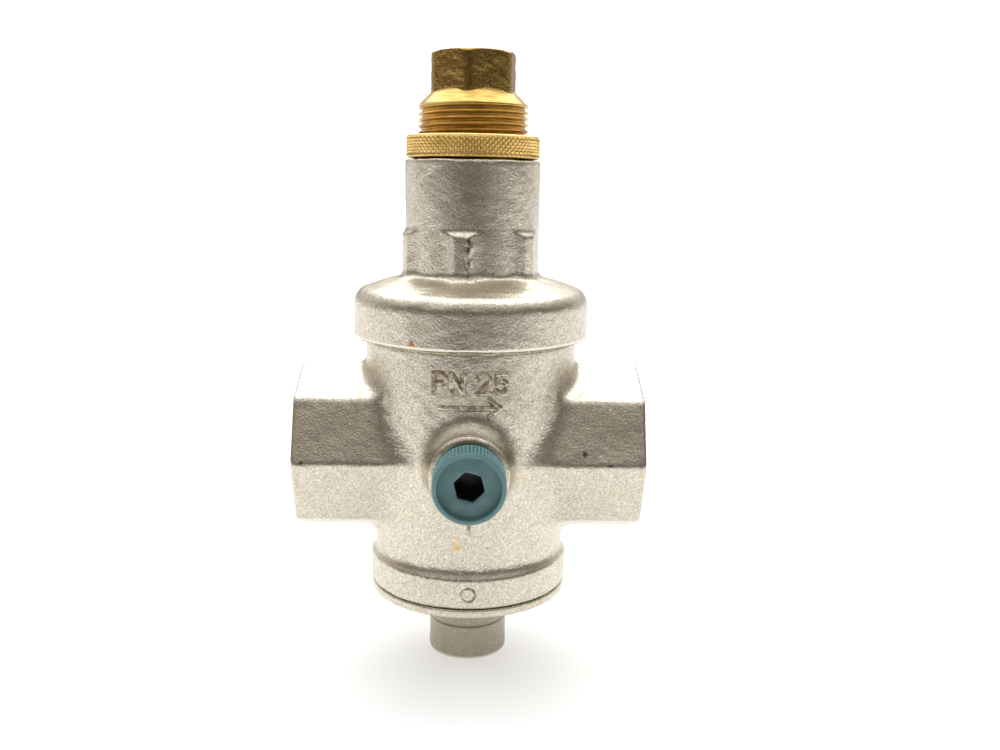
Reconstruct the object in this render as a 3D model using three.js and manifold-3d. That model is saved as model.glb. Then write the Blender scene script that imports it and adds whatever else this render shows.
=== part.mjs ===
// Pressure reducing valve, one inch, diaphragm type. Millimetres, +Z up.
// The origin is the centre of the foot's underside. Water runs from -X to +X, and the gauge
// port faces -Y. Each mesh is one separate piece, shown with the valve open, as it stands
// without pressure.
import * as THREE from 'three';
import { mergeVertices } from 'three/addons/utils/BufferGeometryUtils.js';
import Module from 'manifold-3d';

const wasm = await Module();
wasm.setup();

// Driving dimensions
const GAP = 0.3;
const SKIN = 1;
const ROUND = 40;
const MEDIUM = 32;
const FINE = 24;
const SMALL = 12;
const FULL_TURN = 2 * Math.PI;

const PORT_Z = 56.7;
const PORT_HALF_LENGTH = 44;
const PORT_FLATS = 41;
const PORT_BEVEL = 0.8;
const PORT_BORE_R = 15.9;
const PORT_BORE_FLOOR_R = 12.9;
const PORT_BORE_FLOOR_RISE = 2;
const PORT_MOUTH_R = 17.1;
const PORT_MOUTH_DEPTH = 1.2;
const PORT_BORE_END_X = 24;
const PASSAGE_R = 13;
const PASSAGE_START_X = 8;

const FLANGE_R = 26.05;
const FLANGE_BOTTOM_Z = 21.2;
const FLANGE_TOP_Z = 28.8;
const FLANGE_SLOPE = { r: 25.4, rise: 0.8 };
const BARREL_FOOT_R = 24.8;
const BARREL_FOOT_Z = 33;
const BARREL_R = 27.2;
const BARREL_FULL_Z = 60;
const BARREL_TOP_Z = 86.2;
const NECK_R = 26.9;
const NECK_TOP_Z = 92.2;
const NECK_BEVEL = 0.8;
const CHAMBER_R = 19;
const LOWER_CEILING_Z = 54.7;
const UPPER_FLOOR_Z = 58.7;
const COVER_BORE_R = 23.2;
const COVER_BORE_TOP_Z = 29.3;
const SEAT_BORE_R = 10;
const SEAT_RECESS_R = 12.3;
const SEAT_RECESS_DEPTH = 1.6;

const BOSS_R = 9.8;
const BOSS_BEVEL = 1;
const BOSS_FACE_Y = -31.4;
const GAUGE_BORE_R = 6.9;
const GAUGE_BORE_END_Y = -21;
const GAUGE_TAP_R = 1.6;
const GAUGE_TAP_START = 14;
const GAUGE_TAP_Z = UPPER_FLOOR_Z + 2.2;

const FOOT_R = 10.4;
const FOOT_TOP_Z = 18.8;
const FOOT_BEVEL = 0.8;
const WELL_R = 8.2;
const WELL_FLOOR_Z = 3;
const COVER_R = 26;
const COVER_BEVEL = 0.3;
const COVER_TOP_Z = 20.9;
const COVER_WEB_Z = 23.4;
const COVER_GROOVE = { r: 20.8, top: 24 };
const SPIGOT = { inner: 20, bevel: 0.7, top: 28.7 };
const HUB = { inner: 9.7, outer: 11.2, low: 19.3, top: 30.1 };

const BELL_R = 30.2;
const BELL_BOTTOM_Z = 86.5;
const BELL_TOP_Z = 96.8;
const BELL_SHOULDER = [[29.6, 98], [28.4, 98.7], [25.2, 99.9], [22.1, 100.9]];
const SKIRT_BORE_R = 27.2;
const BONNET_SHOULDER_Z = 95.7;
const BONNET_MOUTH = { r: 20, top: 97 };
const BONNET_HEX_FLATS = 33.3;
const BONNET_HEX_CORNER_R = 18.3;
const BONNET_HEX_Z = [100.5, 113.4];
const BONNET_BARREL_R = 17.1;
const BONNET_BARREL_Z = 102.2;
const BONNET_TOP_Z = 131.1;
const BONNET_TOP_BEVEL = 0.6;
const BONNET_BORE_R = 14.3;
const BONNET_BORE_Z = 99;

const SEAT_LIP_Z = 52.3;
const SEAT_LIP = { inner: 8.5, tip: 9.1, root: 9.5, rootZ: 53 };
const SEAT_COLLAR = { r: 12, top: 54.3 };
const SEAT_SLEEVE = { r: 9.7, top: 59.6 };

const DISC_LIFT = 3;
const SEAL_TOP_Z = SEAT_LIP_Z - DISC_LIFT - GAP;
const SEAL = { r: 9.9, thick: 2.5 };
const RETAINER = { flats: 12, thick: 2.2 };
const CUP = { inner: 10.2, outer: 11.5, lowR: 11, low: 42.6, bevel: 0.5, lip: 0.6, depth: 2.8 };
const STEM_R = 3;
const STEM_TOP_Z = 99.6;
const STEM_BEVEL = 0.5;
const STEM_COLLAR = { r: 5.5, low: 83.5, wide: 84.5, top: 87.7 };
const LOWER_ROD_R = 4;
const PISTON = { r: 7.7, low: 20.3, bevel: 0.4, high: 28.5, shoulder: 29.2 };
const PISTON_GROOVE = { r: 6.2, low: 22.4, high: 24.9 };
const GUIDE = { inner: 8, outer: 9.4, low: 19.7, neck: 30.4 };
const GUIDE_COLLAR = { inner: 8.5, outer: 10.9, flare: 31.4, top: 32 };

const DIAPHRAGM_RIM_Z = [92.5, 94.5];
const DIAPHRAGM_RIM_R = 25.5;
const DIAPHRAGM_SAG = 2.5;
const FOLD = { inner: 13.5, outer: 20, steps: 4 };
const SLIP_RING = { inner: 20.2, low: 94.8, high: 95.4 };
const PLATE = { r: 13, thick: 1.7, lowerBevel: 1, upperBevel: 0.5, rim: 1.2, rimTop: 2.9 };
const DIAPHRAGM_NUT = { flats: 10, low: 94.3, high: 98.6 };

const SPRING_MEAN_R = 9.5;
const SPRING_WIRE_R = 1.75;
const SPRING_TURNS = 6.5;
const SPRING_END_PITCH = 3.9;
const SPRING_STEPS = 78;
const SPRING_SIDES = 6;
const SPRING_Z = [94.3, 132.3];
const CAP_PILOT = { r: 7.2, depth: 2, bevel: 0.6 };
const CAP_DISC = { r: 11.3, thick: 2.4, bevel: 0.8 };

const SCREW_R = 14;
const SCREW_HOLLOW_R = 11.8;
const SCREW_PITCH = 1.5;
const SCREW_THREAD_DEPTH = 0.9;
const SCREW_BOTTOM_Z = 120;
const SCREW_THREAD_Z = 136.8;
const SCREW_THREAD_TOP_Z = 144.4;
const SCREW_CONE = { low: 13.6, high: 10.7, neck: 9.6, rise: 0.4 };
const SCREW_HEX_Z = [147.4, 157.2];
const SCREW_HEX_CORNER_R = 10.8;
const SCREW_HEX_BEVEL = 1.2;
const SCREW_HEX_ROOT = 2;
const SCREW_HEX_FLATS = 19.7;
const HEX_TURN = THREE.MathUtils.degToRad(-8.3);

const WASHER_R = 15.2;
const WASHER_Z = [131.4, 131.9];
const RING_R = 16.85;
const RING_BEVEL = 0.4;
const RING_BORE_BEVEL = 0.5;
const RING_Z = [131.5, 137];

// Heights along the gauge plug are distances in front of the valve's axis.
const PLUG_THREAD = { tip: 5.4, low: 22.4, shoulder: 23.6, high: 31.4 };
const PLUG_NECK = { r: 5.8, low: 32 };
const PLUG_HEAD = { r: 8.7, back: 32.9, front: 40.5, bevel: 0.5 };
const PLUG_FACE = { rim: 7.4, floor: 7.2, depth: 1.6 };
const PLUG_SOCKET = { flats: 6.6, depth: 9.2, turn: THREE.MathUtils.degToRad(14) };

const ORING_SIDES = 6;
const COVER_ORING = { meanR: 21.9, sectionR: 0.75, z: 22.4 };
const SEAT_ORING = { meanR: 11.1, sectionR: 0.5, z: 55.2 };
const PISTON_ORING = { meanR: 7.1, sectionR: 0.55, z: 23.65 };
const PLUG_ORING = { meanR: 7.6, sectionR: 0.45, z: 32.15 };

// Finishes
const NICKEL = { color: 0xbfb7aa, roughness: 0.45, metalness: 0.9 };
const BRASS = { color: 0xc8962e, roughness: 0.3, metalness: 1 };
const STEEL = { color: 0xb9bcc0, roughness: 0.28, metalness: 1 };
const SPRING_STEEL = { color: 0x6f7276, roughness: 0.4, metalness: 0.9 };
const RUBBER = { color: 0x161616, roughness: 0.8, metalness: 0 };
const TEAL_PLASTIC = { color: 0x4f7f80, roughness: 0.55, metalness: 0 };
const WHITE_PLASTIC = { color: 0xe9e6df, roughness: 0.5, metalness: 0 };
const BLACK_PLASTIC = { color: 0x1d1b19, roughness: 0.6, metalness: 0 };

const group = new THREE.Group();

function add(name, geometry, finish) {
  const mesh = new THREE.Mesh(geometry, new THREE.MeshStandardMaterial(finish));
  mesh.name = name;
  group.add(mesh);
}

// Merges shared vertices and drops the slivers that a lathe leaves on its axis.
function closed(geometry) {
  const bare = geometry.clone();
  bare.deleteAttribute('normal');
  bare.deleteAttribute('uv');
  const merged = mergeVertices(bare, 1e-4);
  const index = merged.index.array;
  const kept = [];
  for (let i = 0; i < index.length; i += 3) {
    const [a, b, c] = [index[i], index[i + 1], index[i + 2]];
    if (a !== b && b !== c && c !== a) {
      kept.push(a, b, c);
    }
  }
  merged.setIndex(kept);
  return merged;
}

function solid(geometry) {
  const mesh = closed(geometry);
  return new wasm.Manifold(new wasm.Mesh({
    numProp: 3,
    vertProperties: new Float32Array(mesh.attributes.position.array),
    triVerts: new Uint32Array(mesh.index.array),
  }));
}

function geometryOf(manifold) {
  const mesh = manifold.getMesh();
  const geometry = new THREE.BufferGeometry();
  geometry.setAttribute('position', new THREE.BufferAttribute(mesh.vertProperties, 3));
  geometry.setIndex(new THREE.BufferAttribute(mesh.triVerts, 1));
  return geometry;
}

// Turns a profile of [radius, height] points about +Z. The profile runs up its outer side.
function turned(profile, sides = ROUND, start = 0) {
  const points = profile.map(([r, z]) => new THREE.Vector2(r, z));
  return closed(new THREE.LatheGeometry(points, sides, start).rotateX(Math.PI / 2));
}

function rod(radius, z0, z1, sides = ROUND, start = 0) {
  return turned([[0, z0], [radius, z0], [radius, z1], [0, z1]], sides, start);
}

function hexRod(flats, z0, z1, start = 0) {
  return rod(flats / 2 / Math.cos(Math.PI / 6), z0, z1, 6, start);
}

function tube(inner, outer, z0, z1, sides = ROUND) {
  return turned([[inner, z0], [outer, z0], [outer, z1], [inner, z1], [inner, z0]], sides);
}

// Lays a piece made about +Z along +X, or along -Y.
function alongX(geometry) {
  return geometry.rotateY(Math.PI / 2);
}

function alongFront(geometry) {
  return geometry.rotateX(Math.PI / 2);
}

// Points of the crests and roots of a thread, made as rings, from z0 up to z1.
function threadProfile(crest, depth, pitch, z0, z1) {
  const points = [];
  const count = Math.floor((z1 - z0) / pitch);
  for (let i = 0; i < count; i += 1) {
    const z = z0 + i * pitch;
    points.push([crest - depth, z], [crest, z + pitch * 0.4], [crest, z + pitch * 0.6]);
  }
  points.push([crest - depth, z0 + count * pitch]);
  return points;
}

function ring({ meanR, sectionR, z }) {
  const torus = new THREE.TorusGeometry(meanR, sectionR, ORING_SIDES, FINE);
  return closed(torus.translate(0, 0, z));
}

function bodyOutside() {
  const barrel = solid(turned([
    [0, FLANGE_BOTTOM_Z],
    [FLANGE_R, FLANGE_BOTTOM_Z],
    [FLANGE_R, FLANGE_TOP_Z],
    [FLANGE_SLOPE.r, FLANGE_TOP_Z + FLANGE_SLOPE.rise],
    [BARREL_FOOT_R, BARREL_FOOT_Z],
    [BARREL_R, BARREL_FULL_Z],
    [BARREL_R, BARREL_TOP_Z],
    [NECK_R, BARREL_TOP_Z],
    [NECK_R, NECK_TOP_Z - NECK_BEVEL],
    [NECK_R - NECK_BEVEL, NECK_TOP_Z],
    [0, NECK_TOP_Z],
  ]));
  const portSides = 8;
  const portR = PORT_FLATS / 2 / Math.cos(Math.PI / portSides);
  const ports = solid(alongX(turned([
    [0, -PORT_HALF_LENGTH],
    [portR - PORT_BEVEL, -PORT_HALF_LENGTH],
    [portR, -PORT_HALF_LENGTH + PORT_BEVEL],
    [portR, PORT_HALF_LENGTH - PORT_BEVEL],
    [portR - PORT_BEVEL, PORT_HALF_LENGTH],
    [0, PORT_HALF_LENGTH],
  ], portSides)).translate(0, 0, PORT_Z));
  const bossFace = -BOSS_FACE_Y;
  const boss = solid(alongFront(turned([
    [0, 0],
    [BOSS_R, 0],
    [BOSS_R, bossFace - BOSS_BEVEL],
    [BOSS_R - BOSS_BEVEL, bossFace],
    [0, bossFace],
  ], FINE)).translate(0, 0, PORT_Z));
  return barrel.add(ports).add(boss);
}

// Everything below the chamber wall on the inlet side, everything above it on the outlet side.
function chamberSide(side) {
  const depth = 40;
  const width = 2 * PORT_HALF_LENGTH;
  const level = side < 0 ? LOWER_CEILING_Z - depth / 2 : UPPER_FLOOR_Z + depth / 2;
  return solid(new THREE.BoxGeometry(width, width, depth).translate(0, 0, level));
}

// A port's threaded bore, its mouth chamfer and the low or high passage into its chamber.
function portCut(side) {
  const bore = solid(alongX(turned([
    [0, PORT_BORE_END_X],
    [PORT_BORE_FLOOR_R, PORT_BORE_END_X],
    [PORT_BORE_R, PORT_BORE_END_X + PORT_BORE_FLOOR_RISE],
    [PORT_BORE_R, PORT_HALF_LENGTH - PORT_MOUTH_DEPTH],
    [PORT_MOUTH_R, PORT_HALF_LENGTH],
    [PORT_MOUTH_R, PORT_HALF_LENGTH + SKIN],
    [0, PORT_HALF_LENGTH + SKIN],
  ])).translate(0, 0, PORT_Z));
  const passage = solid(alongX(rod(PASSAGE_R, PASSAGE_START_X, PORT_BORE_END_X + SKIN))
    .translate(0, 0, PORT_Z));
  const cut = bore.add(passage.intersect(chamberSide(side)));
  return side < 0 ? cut.mirror([1, 0, 0]) : cut;
}

function gaugeCut() {
  const bore = solid(alongFront(rod(GAUGE_BORE_R, -GAUGE_BORE_END_Y, -BOSS_FACE_Y + SKIN, FINE))
    .translate(0, 0, PORT_Z));
  const tap = solid(alongFront(rod(GAUGE_TAP_R, GAUGE_TAP_START, -GAUGE_BORE_END_Y + SKIN, SMALL))
    .translate(0, 0, GAUGE_TAP_Z));
  return bore.add(tap);
}

function valveBody() {
  const recessTop = LOWER_CEILING_Z + SEAT_RECESS_DEPTH;
  const cuts = [
    solid(rod(COVER_BORE_R, FLANGE_BOTTOM_Z - SKIN, COVER_BORE_TOP_Z)),
    solid(rod(CHAMBER_R, COVER_BORE_TOP_Z - SKIN, LOWER_CEILING_Z)),
    solid(rod(CHAMBER_R, UPPER_FLOOR_Z, NECK_TOP_Z + SKIN)),
    solid(rod(SEAT_BORE_R, LOWER_CEILING_Z - SKIN, UPPER_FLOOR_Z + SKIN, FINE)),
    solid(rod(SEAT_RECESS_R, LOWER_CEILING_Z - SKIN, recessTop, FINE)),
    portCut(-1),
    portCut(1),
    gaugeCut(),
  ];
  return geometryOf(cuts.reduce((body, cut) => body.subtract(cut), bodyOutside()));
}

function bonnet() {
  const outside = solid(turned([
    [0, BELL_BOTTOM_Z],
    [BELL_R, BELL_BOTTOM_Z],
    [BELL_R, BELL_TOP_Z],
    ...BELL_SHOULDER,
    [BONNET_BARREL_R, BONNET_BARREL_Z],
    [BONNET_BARREL_R, BONNET_TOP_Z - BONNET_TOP_BEVEL],
    [BONNET_BARREL_R - BONNET_TOP_BEVEL, BONNET_TOP_Z],
    [0, BONNET_TOP_Z],
  ]));
  const hexagon = solid(hexRod(BONNET_HEX_FLATS, ...BONNET_HEX_Z, HEX_TURN))
    .intersect(solid(rod(BONNET_HEX_CORNER_R, ...BONNET_HEX_Z)));
  const inside = solid(turned([
    [0, BELL_BOTTOM_Z - SKIN],
    [SKIRT_BORE_R, BELL_BOTTOM_Z - SKIN],
    [SKIRT_BORE_R, BONNET_SHOULDER_Z],
    [BONNET_MOUTH.r, BONNET_SHOULDER_Z],
    [BONNET_MOUTH.r, BONNET_MOUTH.top],
    [BONNET_BORE_R, BONNET_BORE_Z],
    [BONNET_BORE_R, BONNET_TOP_Z + SKIN],
    [0, BONNET_TOP_Z + SKIN],
  ]));
  return geometryOf(outside.add(hexagon).subtract(inside));
}

// The foot is hollow: it is the well under the balance piston.
function bottomCover() {
  const spigotR = COVER_BORE_R - GAP;
  return turned([
    [0, 0],
    [FOOT_R - FOOT_BEVEL, 0],
    [FOOT_R, FOOT_BEVEL],
    [FOOT_R, FOOT_TOP_Z],
    [COVER_R - COVER_BEVEL, FOOT_TOP_Z],
    [COVER_R, FOOT_TOP_Z + COVER_BEVEL],
    [COVER_R, COVER_TOP_Z],
    [COVER_GROOVE.r, COVER_TOP_Z],
    [COVER_GROOVE.r, COVER_GROOVE.top],
    [spigotR, COVER_GROOVE.top],
    [spigotR, SPIGOT.top - SPIGOT.bevel],
    [spigotR - SPIGOT.bevel, SPIGOT.top],
    [SPIGOT.inner, SPIGOT.top],
    [SPIGOT.inner, COVER_WEB_Z],
    [HUB.outer, COVER_WEB_Z],
    [HUB.outer, HUB.top],
    [HUB.inner, HUB.top],
    [HUB.inner, HUB.low],
    [WELL_R, HUB.low],
    [WELL_R, WELL_FLOOR_Z],
    [0, WELL_FLOOR_Z],
  ]);
}

function seatRing() {
  return turned([
    [SEAT_LIP.inner, SEAT_LIP_Z],
    [SEAT_LIP.tip, SEAT_LIP_Z],
    [SEAT_LIP.root, SEAT_LIP.rootZ],
    [SEAT_COLLAR.r, SEAT_LIP.rootZ],
    [SEAT_COLLAR.r, SEAT_COLLAR.top],
    [SEAT_SLEEVE.r, SEAT_COLLAR.top],
    [SEAT_SLEEVE.r, SEAT_SLEEVE.top],
    [SEAT_LIP.inner, SEAT_SLEEVE.top],
    [SEAT_LIP.inner, SEAT_LIP_Z],
  ], FINE);
}

// Balance piston, lower rod, seal cup, upper rod and the collar under the diaphragm plates.
function stem() {
  const cupFloor = SEAL_TOP_Z - CUP.depth;
  const cupLip = SEAL_TOP_Z - CUP.lip;
  return turned([
    [0, PISTON.low],
    [PISTON.r - PISTON.bevel, PISTON.low],
    [PISTON.r, PISTON.low + PISTON.bevel],
    [PISTON.r, PISTON_GROOVE.low],
    [PISTON_GROOVE.r, PISTON_GROOVE.low],
    [PISTON_GROOVE.r, PISTON_GROOVE.high],
    [PISTON.r, PISTON_GROOVE.high],
    [PISTON.r, PISTON.high],
    [LOWER_ROD_R, PISTON.shoulder],
    [LOWER_ROD_R, CUP.low - STEM_BEVEL],
    [CUP.lowR, CUP.low],
    [CUP.outer, CUP.low + CUP.bevel],
    [CUP.outer, cupLip],
    [CUP.inner, cupLip],
    [CUP.inner, cupFloor],
    [STEM_R, cupFloor],
    [STEM_R, STEM_COLLAR.low],
    [STEM_COLLAR.r, STEM_COLLAR.wide],
    [STEM_COLLAR.r, STEM_COLLAR.top],
    [STEM_R, STEM_COLLAR.top],
    [STEM_R, STEM_TOP_Z - STEM_BEVEL],
    [STEM_R - STEM_BEVEL, STEM_TOP_Z],
    [0, STEM_TOP_Z],
  ], FINE);
}

function guideBush() {
  return turned([
    [GUIDE.inner, GUIDE.low],
    [GUIDE.outer, GUIDE.low],
    [GUIDE.outer, GUIDE.neck],
    [GUIDE_COLLAR.outer, GUIDE.neck],
    [GUIDE_COLLAR.outer, GUIDE_COLLAR.top],
    [GUIDE_COLLAR.inner, GUIDE_COLLAR.top],
    [GUIDE.inner, GUIDE_COLLAR.flare],
    [GUIDE.inner, GUIDE.low],
  ], FINE);
}

// Clamped flat rim, a rolling fold and a flat middle that sags with the valve open.
function diaphragm() {
  const [low, high] = DIAPHRAGM_RIM_Z;
  const under = [];
  for (let i = 0; i <= FOLD.steps; i += 1) {
    const t = i / FOLD.steps;
    const rise = (1 - Math.cos(Math.PI * t)) / 2;
    under.push([FOLD.inner + (FOLD.outer - FOLD.inner) * t, -DIAPHRAGM_SAG * (1 - rise)]);
  }
  const hole = STEM_R + GAP;
  return turned([
    [hole, low - DIAPHRAGM_SAG],
    ...under.map(([r, drop]) => [r, low + drop]),
    [DIAPHRAGM_RIM_R, low],
    [DIAPHRAGM_RIM_R, high],
    ...under.reverse().map(([r, drop]) => [r, high + drop]),
    [hole, high - DIAPHRAGM_SAG],
    [hole, low - DIAPHRAGM_SAG],
  ], FINE);
}

function upperPlate() {
  const z = DIAPHRAGM_RIM_Z[1] - DIAPHRAGM_SAG + GAP;
  const hole = STEM_R + GAP;
  const rimInner = PLATE.r - PLATE.rim;
  return turned([
    [hole, z],
    [PLATE.r - PLATE.upperBevel, z],
    [PLATE.r, z + PLATE.upperBevel],
    [PLATE.r, z + PLATE.rimTop],
    [rimInner, z + PLATE.rimTop],
    [rimInner, z + PLATE.thick],
    [hole, z + PLATE.thick],
    [hole, z],
  ], FINE);
}

function lowerPlate() {
  const z = DIAPHRAGM_RIM_Z[0] - DIAPHRAGM_SAG - GAP;
  const hole = STEM_R + GAP;
  const under = z - PLATE.thick;
  return turned([
    [hole, under],
    [PLATE.r - PLATE.lowerBevel, under],
    [PLATE.r, under + PLATE.lowerBevel],
    [PLATE.r, z],
    [hole, z],
    [hole, under],
  ], FINE);
}

function hexNut(flats, z0, z1) {
  const hole = solid(rod(STEM_R + GAP, z0 - SKIN, z1 + SKIN, FINE));
  return geometryOf(solid(hexRod(flats, z0, z1)).subtract(hole));
}

function diaphragmNut() {
  return hexNut(DIAPHRAGM_NUT.flats, DIAPHRAGM_NUT.low, DIAPHRAGM_NUT.high);
}

function sealRetainer() {
  const low = SEAL_TOP_Z + GAP;
  return hexNut(RETAINER.flats, low, low + RETAINER.thick);
}

// Close end turns and open middle turns.
class SpringPath extends THREE.Curve {
  getPoint(t, target = new THREE.Vector3()) {
    const low = SPRING_Z[0] + SPRING_WIRE_R;
    const high = SPRING_Z[1] - SPRING_WIRE_R;
    const midPitch = (high - low - 2 * SPRING_END_PITCH) / (SPRING_TURNS - 2);
    const turn = t * SPRING_TURNS;
    const inEnds = Math.min(turn, 1) + Math.max(turn - (SPRING_TURNS - 1), 0);
    const z = low + SPRING_END_PITCH * inEnds + midPitch * (turn - inEnds);
    const angle = FULL_TURN * turn;
    return target.set(SPRING_MEAN_R * Math.cos(angle), SPRING_MEAN_R * Math.sin(angle), z);
  }
}

function mainSpring() {
  const wire = new THREE.Shape().absarc(0, 0, SPRING_WIRE_R, 0, FULL_TURN);
  const outline = wire.getSpacedPoints(SPRING_SIDES).slice(0, SPRING_SIDES);
  return closed(new THREE.ExtrudeGeometry(new THREE.Shape(outline), {
    steps: SPRING_STEPS,
    extrudePath: new SpringPath(),
    bevelEnabled: false,
  }));
}

function springCap() {
  const z = SPRING_Z[1] + GAP;
  const top = z + CAP_DISC.thick;
  return turned([
    [0, z - CAP_PILOT.depth],
    [CAP_PILOT.r - CAP_PILOT.bevel, z - CAP_PILOT.depth],
    [CAP_PILOT.r, z - CAP_PILOT.depth + CAP_PILOT.bevel],
    [CAP_PILOT.r, z],
    [CAP_DISC.r, z],
    [CAP_DISC.r, top - CAP_DISC.bevel],
    [CAP_DISC.r - CAP_DISC.bevel, top],
    [0, top],
  ], FINE);
}

// Hollow from below, so that the spring cap bears on the roof of the hollow.
function adjustingScrew() {
  const roof = SPRING_Z[1] + GAP + CAP_DISC.thick + GAP;
  const [hexLow, hexHigh] = SCREW_HEX_Z;
  const hexRoot = hexLow - SCREW_HEX_ROOT;
  const coneTop = hexLow + SCREW_CONE.rise;
  const thread = threadProfile(
    SCREW_R,
    SCREW_THREAD_DEPTH,
    SCREW_PITCH,
    SCREW_THREAD_Z,
    SCREW_THREAD_TOP_Z,
  );
  const shank = solid(turned([
    [0, SCREW_BOTTOM_Z],
    [SCREW_R - SCREW_THREAD_DEPTH, SCREW_BOTTOM_Z],
    [SCREW_R, SCREW_BOTTOM_Z + SCREW_THREAD_DEPTH],
    [SCREW_R, SCREW_THREAD_Z],
    ...thread,
    [SCREW_CONE.low, SCREW_THREAD_TOP_Z],
    [SCREW_CONE.high, hexLow],
    [SCREW_CONE.neck, coneTop],
    [0, coneTop],
  ], MEDIUM));
  const corners = solid(turned([
    [0, hexRoot],
    [SCREW_HEX_CORNER_R, hexRoot],
    [SCREW_HEX_CORNER_R, hexHigh - SCREW_HEX_BEVEL],
    [SCREW_HEX_CORNER_R - SCREW_HEX_BEVEL, hexHigh],
    [0, hexHigh],
  ]));
  const hexagon = solid(hexRod(SCREW_HEX_FLATS, hexRoot, hexHigh, HEX_TURN));
  const hollow = solid(rod(SCREW_HOLLOW_R, SCREW_BOTTOM_Z - SKIN, roof, MEDIUM));
  return geometryOf(shank.add(hexagon.intersect(corners)).subtract(hollow));
}

// A recess underneath holds the washer.
function lockRing() {
  const [low, high] = RING_Z;
  const bore = SCREW_R + GAP;
  const recessR = WASHER_R + GAP;
  const recessZ = WASHER_Z[1] + GAP;
  return turned([
    [bore, recessZ],
    [recessR, recessZ],
    [recessR, low],
    [RING_R - RING_BEVEL, low],
    [RING_R, low + RING_BEVEL],
    [RING_R, high - RING_BEVEL],
    [RING_R - RING_BEVEL, high],
    [bore + RING_BORE_BEVEL, high],
    [bore, high - RING_BORE_BEVEL],
    [bore, recessZ],
  ]);
}

function gaugePlug() {
  const { r, back, front, bevel } = PLUG_HEAD;
  const threadR = GAUGE_BORE_R - GAP;
  const face = front - PLUG_FACE.depth;
  const shank = solid(turned([
    [0, PLUG_THREAD.low],
    [PLUG_THREAD.tip, PLUG_THREAD.low],
    [threadR, PLUG_THREAD.shoulder],
    [threadR, PLUG_THREAD.high],
    [PLUG_NECK.r, PLUG_NECK.low],
    [PLUG_NECK.r, back],
    [r - bevel, back],
    [r, back + bevel],
    [r, front - bevel],
    [r - bevel, front],
    [PLUG_FACE.rim, front],
    [PLUG_FACE.floor, face],
    [0, face],
  ], MEDIUM));
  const socketFloor = front - PLUG_SOCKET.depth;
  const socket = solid(hexRod(PLUG_SOCKET.flats, socketFloor, front, PLUG_SOCKET.turn));
  return alongFront(geometryOf(shank.subtract(socket))).translate(0, 0, PORT_Z);
}

function plugOring() {
  return alongFront(ring(PLUG_ORING)).translate(0, 0, PORT_Z);
}

function slipRing() {
  return tube(SLIP_RING.inner, DIAPHRAGM_RIM_R, SLIP_RING.low, SLIP_RING.high, FINE);
}

function valveSeal() {
  return tube(STEM_R + GAP, SEAL.r, SEAL_TOP_Z - SEAL.thick, SEAL_TOP_Z, FINE);
}

function lockRingWasher() {
  return tube(SCREW_R + GAP, WASHER_R, ...WASHER_Z, FINE);
}

add('valve_body', valveBody(), NICKEL);
add('bonnet', bonnet(), NICKEL);
add('bottom_cover', bottomCover(), NICKEL);
add('bottom_cover_oring', ring(COVER_ORING), RUBBER);
add('seat_ring', seatRing(), STEEL);
add('seat_oring', ring(SEAT_ORING), RUBBER);
add('slip_ring', slipRing(), BRASS);
add('diaphragm', diaphragm(), RUBBER);
add('diaphragm_lower_plate', lowerPlate(), BRASS);
add('diaphragm_upper_plate', upperPlate(), BRASS);
add('diaphragm_nut', diaphragmNut(), STEEL);
add('stem', stem(), BRASS);
add('valve_seal', valveSeal(), RUBBER);
add('seal_retainer', sealRetainer(), BRASS);
add('piston_oring', ring(PISTON_ORING), RUBBER);
add('guide_bush', guideBush(), WHITE_PLASTIC);
add('main_spring', mainSpring(), SPRING_STEEL);
add('spring_cap', springCap(), STEEL);
add('adjusting_screw', adjustingScrew(), BRASS);
add('lock_ring', lockRing(), BRASS);
add('lock_ring_washer', lockRingWasher(), BLACK_PLASTIC);
add('gauge_plug', gaugePlug(), TEAL_PLASTIC);
add('gauge_plug_oring', plugOring(), RUBBER);

export default group;
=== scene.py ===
"""Looks of a one inch pressure reducing valve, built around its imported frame.

Lengths are in millimetres and become metres where Blender is given them.
"""

import functools
import math

import bpy
import numpy as np
from mathutils import Matrix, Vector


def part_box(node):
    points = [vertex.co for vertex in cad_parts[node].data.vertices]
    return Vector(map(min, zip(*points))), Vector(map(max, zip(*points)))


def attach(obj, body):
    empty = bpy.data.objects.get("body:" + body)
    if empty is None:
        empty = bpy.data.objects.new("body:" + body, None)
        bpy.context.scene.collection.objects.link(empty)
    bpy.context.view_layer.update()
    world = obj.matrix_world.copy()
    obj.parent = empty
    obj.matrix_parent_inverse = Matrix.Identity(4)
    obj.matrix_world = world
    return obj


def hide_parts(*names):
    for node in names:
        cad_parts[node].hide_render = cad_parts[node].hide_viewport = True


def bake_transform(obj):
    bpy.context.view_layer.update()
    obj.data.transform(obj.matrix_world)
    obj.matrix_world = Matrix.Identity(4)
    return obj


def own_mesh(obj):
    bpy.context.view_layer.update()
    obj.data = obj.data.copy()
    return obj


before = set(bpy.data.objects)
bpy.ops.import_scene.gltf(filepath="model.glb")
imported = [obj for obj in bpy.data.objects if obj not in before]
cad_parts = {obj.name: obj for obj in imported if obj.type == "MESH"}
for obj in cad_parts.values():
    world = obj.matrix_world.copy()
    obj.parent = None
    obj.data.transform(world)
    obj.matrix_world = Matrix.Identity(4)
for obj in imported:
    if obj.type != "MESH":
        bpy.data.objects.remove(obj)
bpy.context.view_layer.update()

MM = 0.001
TURN = 2 * math.pi


def span(node):
    """A CAD node's lowest and highest corner, in millimetres."""
    low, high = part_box(node)
    return np.array(low) / MM, np.array(high) / MM


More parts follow.
